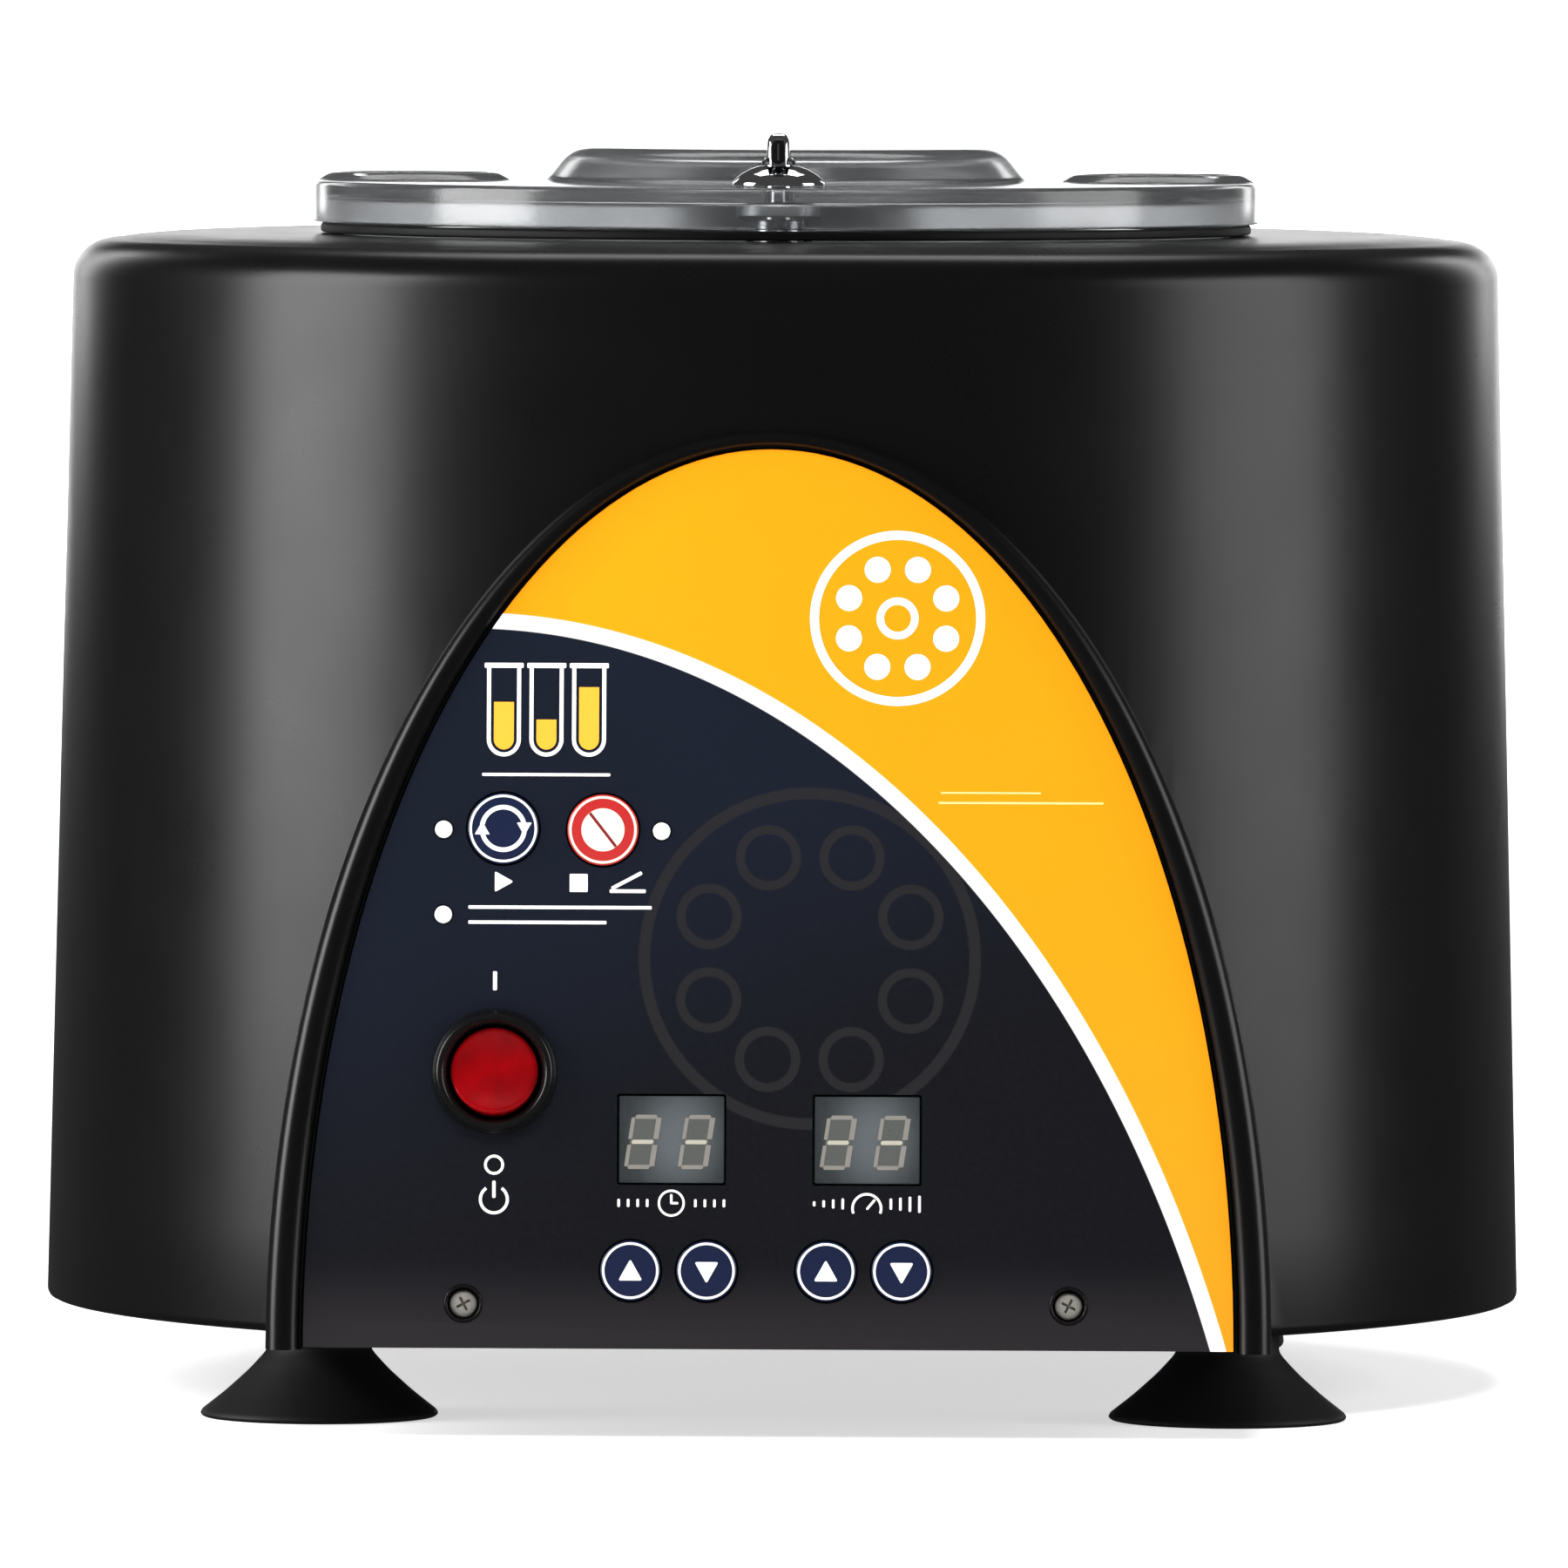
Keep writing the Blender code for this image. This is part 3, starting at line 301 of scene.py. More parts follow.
class Nodes:
    """Short ways to add and link shader nodes."""

    def __init__(self, name):
        self.material = bpy.data.materials.new(name)
        self.material.use_nodes = True
        self.tree = self.material.node_tree
        self.shader = self.tree.nodes["Principled BSDF"]
        self.place = self.add("ShaderNodeTexCoord").outputs["Object"]

    def add(self, kind, **values):
        node = self.tree.nodes.new(kind)
        for key, value in values.items():
            setattr(node, key, value)
        return node

    def put(self, source, target):
        self.tree.links.new(source, target)

    def feed(self, value, socket):
        if isinstance(value, bpy.types.NodeSocket):
            self.put(value, socket)
        else:
            socket.default_value = value

    def math(self, operation, a, b=0.0):
        node = self.add("ShaderNodeMath", operation=operation)
        self.feed(a, node.inputs[0])
        self.feed(b, node.inputs[1])
        return node.outputs[0]

    def vector(self, operation, a, b=(0, 0, 0)):
        node = self.add("ShaderNodeVectorMath", operation=operation)
        self.feed(a, node.inputs[0])
        self.feed(b, node.inputs[1])
        return node.outputs["Value" if operation in ("LENGTH", "DOT_PRODUCT") else "Vector"]

    def ramp(self, value, low, high, to_low=0.0, to_high=1.0, smooth=False):
        node = self.add("ShaderNodeMapRange", clamp=True)
        if smooth:
            node.interpolation_type = "SMOOTHSTEP"
        for socket, number in zip(node.inputs, (value, low, high, to_low, to_high)):
            self.feed(number, socket)
        return node.outputs[0]

    def mix(self, share, a, b):
        node = self.add("ShaderNodeMix", data_type="RGBA")
        self.feed(share, node.inputs[0])
        self.feed((*a, 1) if isinstance(a, tuple) else a, node.inputs[6])
        self.feed((*b, 1) if isinstance(b, tuple) else b, node.inputs[7])
        return node.outputs[2]

    def noise(self, scale, detail=3.0, stretch=None):
        place = self.place if stretch is None else self.vector("MULTIPLY", self.place, stretch)
        node = self.add("ShaderNodeTexNoise")
        self.put(place, node.inputs["Vector"])
        node.inputs["Scale"].default_value = scale
        node.inputs["Detail"].default_value = detail
        return node.outputs["Fac"]

    def surface(self, **sockets):
        """Sets or feeds the shader's sockets, with underscores for spaces."""
        for name, value in sockets.items():
            self.feed(value, self.shader.inputs[name.replace("_", " ")])

    def bump(self, height, strength, distance):
        node = self.add("ShaderNodeBump")
        node.inputs["Strength"].default_value = strength
        node.inputs["Distance"].default_value = distance
        self.put(height, node.inputs["Height"])
        self.surface(Normal=node.outputs["Normal"])


def shade(colour, factor):
    return tuple(min(1.0, channel * factor) for channel in colour)


def finish(name, colour, roughness, metallic=0.0, mottle=0.12, scale=45, spread=0.05, grain=0.15, size=2200,
           depth=0.00003, stretch=None, **sockets):
    """A procedural finish: slow variation in colour and gloss, and a fine moulded, cast or brushed grain."""
    n = Nodes(name)
    n.surface(Metallic=metallic, **sockets)
    slow = n.noise(scale)
    n.surface(Base_Color=n.mix(slow, shade(colour, 1 - mottle), shade(colour, 1 + mottle)))
    fine = n.noise(size, 2.0, stretch)
    gloss = n.math("ADD", n.math("MULTIPLY", slow, 0.6), n.math("MULTIPLY", fine, 0.4))
    n.surface(Roughness=n.ramp(gloss, 0.3, 0.7, max(0.01, roughness - spread), roughness + spread))
    if grain:
        n.bump(fine, grain, depth)
    n.material.diffuse_color = (*colour, 1)
    return n.material


def lathe_finish(name, colour, roughness, pitch=900, metallic=1.0, strength=0.25):
    """Turned or spun metal: fine rings round the drum's axis."""
    n = Nodes(name)
    n.surface(Metallic=metallic)
    flat = n.vector("MULTIPLY", n.vector("SUBTRACT", n.place, (0, DRUM_Y, 0)), (1, 1, 0))
    radius = n.vector("LENGTH", flat)
    split = n.add("ShaderNodeSeparateXYZ")
    n.put(n.place, split.inputs[0])
    rings = n.add("ShaderNodeTexNoise", noise_dimensions="2D")
    rings.inputs["Scale"].default_value = pitch
    rings.inputs["Detail"].default_value = 4.0
    both = n.add("ShaderNodeCombineXYZ")
    n.put(radius, both.inputs[0])
    n.put(split.outputs[2], both.inputs[1])
    n.put(both.outputs[0], rings.inputs["Vector"])
    slow = n.noise(30)
    n.surface(Base_Color=n.mix(slow, shade(colour, 0.9), shade(colour, 1.06)))
    n.surface(Roughness=n.ramp(rings.outputs["Fac"], 0.3, 0.7, roughness - 0.08, roughness + 0.08))
    n.bump(rings.outputs["Fac"], strength, 0.00004)
    n.material.diffuse_color = (*colour, 1)
    return n.material


# Printed panel artwork, in the panel's axes
STRIPE_CENTRE = (-0.0598, -0.0959)
STRIPE_REACH = (0.1646, 0.2427)
STRIPE_WIDTH = 0.0031
AMBER, WHITE = (0.90, 0.29, 0.006), (0.90, 0.90, 0.88)
# The last dark colour is a painted reflection, a warm glow for the film's bottom edge, not ink.
NAVY, SLATE, BOTTOM_REFLECTION = (0.0068, 0.0095, 0.0180), (0.0058, 0.0060, 0.0080), (0.024, 0.021, 0.023)
MARK_CENTRE, MARK_RADIUS = (0.008, 0.078), 0.033


def overlay_finish():
    """The printed film: an amber and a dark field, a curved white stripe between, a faint rotor mark, and a
    painted warm reflection along the bottom edge.
    """
    n = Nodes("printed_film_and_reflection")
    flat = n.vector("MULTIPLY", n.place, (1, 1, 0))
    from_centre = n.vector("SUBTRACT", flat, (*STRIPE_CENTRE, 0))

    def inside(inset, blur):
        scale = (1 / (STRIPE_REACH[0] - inset), 1 / (STRIPE_REACH[1] - inset), 0)
        reach = n.vector("LENGTH", n.vector("MULTIPLY", from_centre, scale))
        return n.ramp(reach, 1 + blur, 1 - blur)

    split = n.add("ShaderNodeSeparateXYZ")
    n.put(n.place, split.inputs[0])
    across, up = split.outputs[0], split.outputs[1]
    diagonal = n.math("SUBTRACT", up, n.math("MULTIPLY", across, 0.35))
    ground = n.mix(n.ramp(diagonal, 0.040, 0.115, smooth=True), SLATE, NAVY)
    # Painted reflection: the dark field turns warmer and lighter towards the film's bottom edge.
    ground = n.mix(n.ramp(up, 0.020, 0.0, 0.0, 0.8, smooth=True), ground, BOTTOM_REFLECTION)
    # The mark: a ring with eight smaller rings, as a rotor looks from above
    from_mark = n.vector("SUBTRACT", flat, (*MARK_CENTRE, 0))
    ring = n.math("ABSOLUTE", n.math("SUBTRACT", n.vector("LENGTH", from_mark), MARK_RADIUS))
    mark = n.ramp(ring, 0.0013, 0.0010)
    for k in range(8):
        a = 2 * math.pi * (k + 0.5) / 8
        spot = (MARK_RADIUS * 0.66 * math.cos(a), MARK_RADIUS * 0.66 * math.sin(a), 0)
        away = n.vector("LENGTH", n.vector("SUBTRACT", from_mark, spot))
        edge = n.math("ABSOLUTE", n.math("SUBTRACT", away, MARK_RADIUS * 0.17))
        mark = n.math("MAXIMUM", mark, n.ramp(edge, 0.0010, 0.0008))
    ground = n.mix(n.math("MULTIPLY", mark, 0.75), ground, (0.019, 0.018, 0.019))
    speckle = n.noise(900, 2.0)
    ground = n.mix(n.ramp(speckle, 0.35, 0.65, 0.0, 0.12), ground, (0.016, 0.017, 0.022))
    amber = n.mix(n.noise(25), shade(AMBER, 0.97), shade(AMBER, 1.02))
    white_edge, dark_edge = inside(0, 0.0006), inside(STRIPE_WIDTH, 0.0006)
    colour = n.mix(dark_edge, n.mix(white_edge, amber, WHITE), ground)
    grain = n.noise(5200, 1.0)
    n.surface(Base_Color=colour, Roughness=n.ramp(grain, 0.3, 0.7, 0.30, 0.42), Specular_IOR_Level=0.12)
    n.bump(grain, 0.12, 0.00002)
    n.material.diffuse_color = (*NAVY, 1)
    return n.material


def display_finish():
    """A tinted window over grey digits, with a painted highlight in the middle and painted shade towards the
    edges.
    """
    n = Nodes("display_window_tint_and_sheen")
    away = n.vector("LENGTH", n.vector("MULTIPLY", n.vector("SUBTRACT", n.place, (0.0015, 0, 0)),
                                       (95, 78, 0)))
    # Painted light: the lighter middle is a painted highlight on the window, and the darker edges are painted
    # shade of its recess.
    tone = n.mix(n.ramp(away, 0.15, 1.15, smooth=True), (0.088, 0.100, 0.108), (0.024, 0.028, 0.030))
    n.surface(Base_Color=n.mix(n.ramp(n.noise(700), 0.4, 0.6, 0, 0.1), tone, (0.065, 0.070, 0.073)))
    n.surface(Roughness=n.ramp(n.noise(60), 0.3, 0.7, 0.16, 0.24), Coat_Weight=0.15)
    n.bump(n.noise(1500, 1.0), 0.05, 0.00002)
    return n.material


def rocker_finish():
    """Clear red moulding: deep colour, glossy, slightly see-through."""
    n = Nodes("rocker_red_moulding")
    cloud = n.noise(160, 3.0)
    tone = n.mix(n.ramp(cloud, 0.35, 0.7), (0.25, 0.0006, 0.0024), (0.16, 0.0005, 0.0018))
    n.surface(Base_Color=tone, Roughness=n.ramp(cloud, 0.3, 0.7, 0.16, 0.26), Specular_IOR_Level=0.3,
              Subsurface_Weight=0.25, Subsurface_Radius=(0.003, 0.0004, 0.0004), Coat_Weight=0.12,
              Coat_Roughness=0.1)
    n.bump(n.noise(900, 2.0), 0.05, 0.00002)
    return n.material


def lid_finish():
    """Smoky clear plastic, with faint flow lines and fingerprints in its gloss."""
    n = Nodes("smoky_clear_plastic")
    slow = n.noise(18, 2.0)
    n.surface(Base_Color=n.mix(slow, (0.47, 0.48, 0.49), (0.53, 0.54, 0.55)))
    n.surface(Roughness=n.ramp(n.noise(40, 4.0), 0.35, 0.75, 0.15, 0.20))
    n.surface(Transmission_Weight=0.95, IOR=1.42)
    n.bump(n.noise(220, 1.0), 0.03, 0.0001)
    n.material.diffuse_color = (0.6, 0.61, 0.63, 0.5)
    return n.material


BLACK = finish("black_moulding", (0.0026, 0.0026, 0.0027), 0.29, grain=0.06, size=2600, mottle=0.08,
               spread=0.022,
               Specular_IOR_Level=0.22)
BLACK_TRIM = finish("black_trim", (0.004, 0.004, 0.0043), 0.28, grain=0.08, size=3000,
                    Specular_IOR_Level=0.35)
RUBBER = finish("black_rubber", (0.0045, 0.0045, 0.0048), 0.62, grain=0.3, size=1500, Specular_IOR_Level=0.3)
STEEL = finish("bright_steel", (0.60, 0.60, 0.61), 0.26, 1.0, mottle=0.06, size=1400, spread=0.07, grain=0.12)
SATIN = finish("satin_steel", (0.80, 0.80, 0.81), 0.46, 1.0, mottle=0.04, size=1400, grain=0.10)
ZINC = finish("zinc_screw", (0.36, 0.35, 0.31), 0.36, 0.5, mottle=0.15, size=1800, grain=0.12)
PLATED = finish("plated_sheet", (0.45, 0.45, 0.47), 0.36, 1.0, mottle=0.10, size=600, spread=0.09, grain=0.12,
                stretch=(1, 12, 1))
CHROME = finish("polished_chrome", (0.86, 0.86, 0.88), 0.05, 1.0, mottle=0.03, spread=0.02, grain=0.02,
                size=900)
ALLOY = lathe_finish("turned_alloy", (0.60, 0.61, 0.63), 0.30)
BOWL = lathe_finish("spun_bowl", (0.50, 0.50, 0.52), 0.34, 600)
BOARD = finish("board_green", (0.012, 0.10, 0.04), 0.38, mottle=0.2, size=500, grain=0.1)
KEY_NAVY = finish("key_navy", (0.0065, 0.0115, 0.042), 0.34, mottle=0.08, size=3000, grain=0.08)
KEY_RED = finish("key_red", (0.44, 0.018, 0.018), 0.34, mottle=0.05, size=3000, grain=0.08)
KEY_DARK_RED = finish("key_dark_red", (0.20, 0.010, 0.022), 0.36, mottle=0.05, size=3000)
KEY_CREAM = finish("key_cream", (0.86, 0.77, 0.60), 0.36, mottle=0.02, size=3000, grain=0.05)
INK = finish("white_ink", (0.90, 0.90, 0.90), 0.42, mottle=0.02, size=3000, grain=0.05)
AMBER_INK = finish("amber_ink", (0.93, 0.42, 0.03), 0.42, mottle=0.03, size=3000, grain=0.05)
PALE_INK = finish("pale_ink", (0.95, 0.66, 0.22), 0.42, mottle=0.03, size=3000, grain=0.05)
LAMP = finish("frosted_lamp", (0.93, 0.93, 0.92), 0.30, mottle=0.02, size=1500, grain=0.05)
SEGMENT = finish("unlit_segment", (0.20, 0.19, 0.17), 0.35, mottle=0.08, size=2500, grain=0.03)
SEGMENT_BRIGHT = finish("pale_segment", (0.40, 0.38, 0.31), 0.35, mottle=0.06, size=2500, grain=0.03)
DIGIT_GROUND = finish("digit_ground", (0.076, 0.081, 0.076), 0.3, mottle=0.06, size=2500, grain=0.03)
FILM_PRINT_AND_REFLECTION = overlay_finish()
WINDOW = display_finish()
ROCKER_RED = rocker_finish()
CLEAR = lid_finish()


# Housing


def drum_radius(z):
    return DRUM_RADIUS - (min(z, SHOULDER_Z) - BASE_Z) * math.tan(DRAFT)


def drum_ring(inset, z, sides=DRUM_SIDES):
    """The drum's plan at one height: round in front, slightly stretched behind."""
    radius = drum_radius(z) - inset
    points = []
    for point in circle(radius, z, sides):
        if point.y > 0:
            point.y *= (radius + REAR_STRETCH) / radius
        points.append(point + Vector((0, DRUM_Y, 0)))
    return points


def drum_solid():
    levels = [(0.0012, BASE_Z), (0.0004, BASE_Z + 0.0004), (0.0001, BASE_Z + 0.0010), (0, BASE_Z + 0.0018)]
    levels += [(0, BASE_Z + (SHOULDER_Z - BASE_Z) * k / 10) for k in range(1, 11)]
    for step in range(1, 11):
        a = math.pi / 2 * step / 10
        levels.append((CORNER_WIDTH * (1 - math.cos(a)), SHOULDER_Z + CORNER_RISE * math.sin(a)))
    start, end = levels[-1], (CROWN_INSET, DECK_Z)
    middle = (start[0] + 0.0050, DECK_Z - 0.0002)
    for step in range(1, 7):
        t = step / 6
        levels.append(tuple(a * (1 - t) ** 2 + b * 2 * t * (1 - t) + c * t * t
                            for a, b, c in zip(start, middle, end)))
    return skin([drum_ring(inset, z) for inset, z in levels])


def drum_hollow():
    ceiling = DECK_Z - WALL
    levels = [(WALL, BASE_Z - 0.02), (WALL, BASE_Z), (WALL, SHOULDER_Z - 0.001)]
    levels += [(WALL + 0.0035, ceiling - 0.0020), (WALL + 0.0100, ceiling)]
    low = (-RECESS_HALF_WIDTH - 0.003, REAR_Y - 0.0095, RECESS_Z[0] - 0.003)
    pad = block(low, (RECESS_HALF_WIDTH + 0.003, REAR_Y + 0.05, RECESS_Z[1] + 0.003))
    return cut(skin([drum_ring(inset, z) for inset, z in levels]), pad)


def arch(half_width, height, depth, drop=0.0, steps=ARCH_STEPS):
    """Half an ellipse. With a drop it stands on straight legs that reach below the panel's foot."""
    angles = [math.pi * k / steps for k in range(steps + 1)]
    points = [Vector((half_width * math.cos(a), height * math.sin(a), depth)) for a in angles]
    if drop:
        points += [Vector((-half_width, -drop, depth)), Vector((half_width, -drop, depth))]
    return points


def arch_prism(half_width, height, low, high, drop=0.02):
    return turn_up(skin([arch(half_width, height, depth, drop) for depth in (low, high)]), PANEL)


def tongue_solid():
    """The wedge in front of the drum that frames the panel, ending in a rounded bead."""
    across, up = ARCH_HALF_WIDTH - LABEL_HALF_WIDTH, ARCH_HEIGHT - LABEL_HEIGHT
    levels = [(0, -0.062), (0, -0.012), (0, -0.0034)]
    for step in range(1, 13):
        a = math.pi * step / 13
        levels.append((0.465 * (1 - math.cos(a)), -0.0034 + (LIP_RISE + 0.0034) * math.sin(a) ** 0.8))
    levels = levels[:-1] + [(0.915, -0.0002)]
    rings = [arch(ARCH_HALF_WIDTH - t * across, ARCH_HEIGHT - t * up, z, 0.02) for t, z in levels]
    return turn_up(skin(rings), PANEL)


def rods(places, radius, low, high, sides=48):
    bm = bmesh.new()
    for x, y in places:
        add_skin(bm, [circle(radius, low, sides, (x, y)), circle(radius, high, sides, (x, y))])
    return from_bmesh(bm)


def along_y(made, centre):
    return turn_up(made, move(centre) @ spin(-QUARTER, "X"))


def along_x(made, centre):
    return turn_up(made, move(centre) @ spin(QUARTER, "Y"))


def housing():
    shell = join(drum_solid(), tongue_solid())
    cavity = arch_prism(ARCH_HALF_WIDTH - WALL, ARCH_HEIGHT - WALL, -0.075, -0.008)
    pocket = arch_prism(LABEL_HALF_WIDTH + FIT, LABEL_HEIGHT + FIT, -0.004, 0.010)
    window = arch_prism(LABEL_HALF_WIDTH - 0.0045, LABEL_HEIGHT - 0.0045, -0.080, 0.012)
    floor = block((-0.3, -0.3, -0.05), (0.3, 0.3, BASE_Z))
    deck = DECK_Z
    rim = [(0, deck - 0.02), (OPENING_RADIUS, deck - 0.02)]
    rim += [(OPENING_RADIUS + 0.0012 * (1 - math.cos(a)), deck - 0.0012 + 0.0012 * math.sin(a))
            for a in (0, 0.4, 0.8, 1.2, 1.5)]
    rim += [(OPENING_RADIUS + 0.0014, deck + 0.01), (0, deck + 0.01)]
    mouth = turned(rim, TURNS, centre=AXIS)
    end = LATCH_Y - 0.00025
    notch = prism(rectangle(0.00675, 0.0134, 0.0067, (0, end + 0.0066), 8), deck - 0.02, deck + 0.01)
    shell = cut(shell, drum_hollow(), cavity, pocket, window, floor, mouth, notch)
    middle = (RECESS_Z[0] + RECESS_Z[1]) / 2
    tray = prism(rectangle(RECESS_HALF_WIDTH, (RECESS_Z[1] - RECESS_Z[0]) / 2, 0.004), 0, 0.03, 0.0012)
    turn_up(tray, move((0, REAR_Y - RECESS_DEPTH, middle)) @ spin(-QUARTER, "X"))
    hole = block((INLET_X - 0.0146, REAR_Y - 0.03, SERVICE_Z - 0.0108),
                 (INLET_X + 0.0146, REAR_Y, SERVICE_Z + 0.0108))
    fuse = along_y(turned([(0.0064, -0.03), (0.0064, 0.01)], 40), (FUSE_X, REAR_Y, SERVICE_Z))
    shell = cut(shell, tray, hole, fuse)
    show(shell, "housing", "housing", "housing_black", "housing_shell", finish=BLACK, angle=30)


# Panel pieces


def panel_place(node):
    """Where a node's middle lies in the panel's axes."""
    back = PANEL.inverted()
    points = [back @ vertex.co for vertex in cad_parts[node].data.vertices]
    xs, ys = [p.x for p in points], [p.y for p in points]
    return ((min(xs) + max(xs)) / 2, (min(ys) + max(ys)) / 2)


def at_panel(x, y, z=0.0):
    return PANEL @ move((x, y, z))


SMALL_KEYS = ("time_up_key", "time_down_key", "speed_up_key", "speed_down_key")
KEY_RADII = {"run_key": 0.0071, "stop_key": 0.0071, **dict.fromkeys(SMALL_KEYS, 0.0060)}
LAMPS = ("run_lamp", "stop_lamp", "fault_lamp")
DISPLAYS = ("time_display", "speed_display")
SCREWS = ("panel_screw_left", "panel_screw_right")
SWITCH = panel_place("power_rocker")
DISPLAY_HALF = (0.0105, 0.0087)


def overlay():
    film = prism([p.xy for p in arch(LABEL_HALF_WIDTH, LABEL_HEIGHT, 0)], -0.0006, 0, 0.00012, 2)
    holes = []
    for name, radius in KEY_RADII.items():
        holes.append(rods([panel_place(name)], radius + FIT, -0.002, 0.002, 64))
    holes.append(rods([panel_place(name) for name in LAMPS], 0.00175 + GAP, -0.002, 0.002, 32))
    holes.append(rods([SWITCH], 0.0110, -0.002, 0.002, 72))
    holes.append(rods([panel_place(name) for name in SCREWS], 0.0039, -0.002, 0.002, 48))
    for name in DISPLAYS:
        outline = rectangle(DISPLAY_HALF[0] + FIT, DISPLAY_HALF[1] + FIT, 0.0005, panel_place(name), 3)
        holes.append(prism(outline, -0.002, 0.002))
    show(cut(film, *holes), "panel_film", "housing", "panel_overlay", "panel_overlay", finish=FILM_PRINT_AND_REFLECTION,
         matrix=PANEL)
    collars = []
    for name in SCREWS:
        x, y = panel_place(name)
        profile = [(0.0029, -0.0021), (0.0038, -0.0021), (0.0038, 0.00015), (0.0033, 0.00015)]
        collars.append((turned(soften(profile, 0.0003, closed=True), 48, True, (x, y)), BLACK_TRIM))
    show(merge(*collars), "screw_wells", "housing", "panel_black", matrix=PANEL)


def panel_screws():
    """Cross-recessed pan heads, sunk in wells."""
    for name in SCREWS:
        x, y = panel_place(name)
        head = [(0, -0.0120), (0.0014, -0.0120), (0.0014, -0.0021), (0.00275, -0.0021), (0.00275, -0.0014)]
        head += [(0.0024, -0.0008), (0.0016, -0.0004), (0, -0.0002)]
        screw = turned(soften(head, 0.0004), 48)
        cross = [block((-a, -b, -0.0014), (a, b, 0.001)) for a, b in ((0.0015, 0.00026), (0.00026, 0.0015))]
        turn = spin(0.5 if x < 0 else 1.1)
        made = cut(screw, *cross)
        show(made, name + "_head", "housing", "bright_steel", name, finish=ZINC, matrix=at_panel(x, y) @ turn)


def flat_ring(inner, outer, at, low, high, sides=64):
    profile = [(inner, low), (outer, low), (outer, high), (inner, high)]
    return turned(profile, sides, True, at)


def arc_band(inner, outer, start, end, low, high, at=(0, 0), steps=28):
    """A flat band along part of a circle, from start to end in radians."""
    return prism(curve(outer, start, end, steps, at) + curve(inner, end, start, steps, at), low, high)


def polygon(points, at, low, high, corner=0.0):
    outline = soften([Vector(p) for p in points], corner, 4, True) if corner else points
    return prism([(at[0] + p[0], at[1] + p[1]) for p in outline], low, high)


def triangle(size, up, at, low, high):
    points = [(-size, -size * 0.78 * up), (size, -size * 0.78 * up), (0, size * up)]
    return polygon(points, at, low, high, size * 0.22)


def key_cap(radius):
    profile = [(0, -0.0090), (0.0025, -0.0090), (0.0025, -0.0012), (radius, -0.0012),
               (radius, 0.0006, 0.0005)]
    profile += [(radius * 0.5, 0.00060), (0, 0.00060)]
    return turned(soften(profile, 0.0003), TURNS)


def keys():
    low, high = 0.00050, 0.00068
    pressed = {"run_key": "run_button", "stop_key": "stop_button"}
    for name, radius in KEY_RADII.items():
        rim = radius - 0.00035
        parts = [(key_cap(radius), KEY_RED if name == "stop_key" else KEY_NAVY)]
        if name == "stop_key":
            parts.append((flat_ring(rim - 0.0005, rim, (0, 0), low, high), KEY_CREAM))
            parts.append((turned([(0, low), (0.0043, low), (0.0043, high), (0, high)], 64), KEY_CREAM))
            bar = rectangle(0.00030, 0.00425)
            strip = turn_up(prism(bar, low, high + 0.00004), spin(math.radians(38)))
            parts.append((strip, KEY_DARK_RED))
        else:
            parts.append((flat_ring(rim - 0.00048, rim, (0, 0), low, high), INK))
        if name == "run_key":
            for turn in (0, math.pi):
                arrow = arc_band(0.0038, 0.0047, math.radians(14), math.radians(172), low, high)
                head = polygon([(-0.0017, 0.0012), (0.0013, 0.0012), (-0.0002, -0.0014)], (0.0044, 0), low,
                               high, 0.0002)
                for made in (arrow, head):
                    parts.append((turn_up(made, spin(turn)), INK))
        if name in SMALL_KEYS:
            parts.append((triangle(0.0024, 1 if "_up_" in name else -1, (0, -0.0001), low, high), INK))
        x, y = panel_place(name)
        body = pressed.get(name, name[:-4] + "_button")
        slot = "key_red" if name == "stop_key" else "key_navy"
        show(merge(*parts), name + "_cap", body, slot, name, matrix=at_panel(x, y))


def lamps():
    for name in LAMPS:
        profile = [(0, -0.0070), (0.00175, -0.0070), (0.00175, 0.00035, 0.0006), (0.0009, 0.0007),
                   (0, 0.00076)]
        made = turned(soften(profile, 0.0003), 48)
        show(made, name + "_lens", "housing", "lamp_white", name, finish=LAMP,
             matrix=at_panel(*panel_place(name)))


def digit(at, low, high):
    """The seven unlit bars of a slanted digit, and the paler field inside them."""
    half_x, half_y, bar, slant, gap = 0.00255, 0.0050, 0.00042, 0.15, 0.00016

    def lean(points):
        return [(at[0] + x + slant * y, at[1] + y) for x, y in points]

    parts = []
    field = [(-half_x, -half_y), (half_x, -half_y), (half_x, half_y), (-half_x, half_y)]
    parts.append((prism(lean(field), low, high - 0.00003), DIGIT_GROUND))
    for y in (-half_y, 0, half_y):
        reach = half_x - bar - gap
        points = [(-reach, y - bar), (reach, y - bar), (reach + bar * 0.6, y), (reach, y + bar),
                  (-reach, y + bar)]
        points.append((-reach - bar * 0.6, y))
        parts.append((prism(lean(points), low, high), SEGMENT_BRIGHT if y == 0 else SEGMENT))
    for x in (-half_x, half_x):
        for side in (-1, 1):
            near, far = side * (bar + gap), side * (half_y - gap)
            width = bar * (1.25 if x > 0 else 0.9)
            points = [(x - width, near), (x + width, near), (x + width, far), (x - width, far)]
            parts.append((prism(lean(points), low, high), SEGMENT))
    return parts


def displays():
    for name in DISPLAYS:
        slab = prism(rectangle(*DISPLAY_HALF, 0.0004), -0.0090, -0.0003, 0.0002)
        parts = [(slab, WINDOW)]
        for x in (-0.0058, 0.0049):
            parts += digit((x, -0.0005), -0.0004, -0.00022)
        x, y = panel_place(name)
        show(merge(*parts), name + "_window", "housing", "display_window", name, matrix=at_panel(x, y))


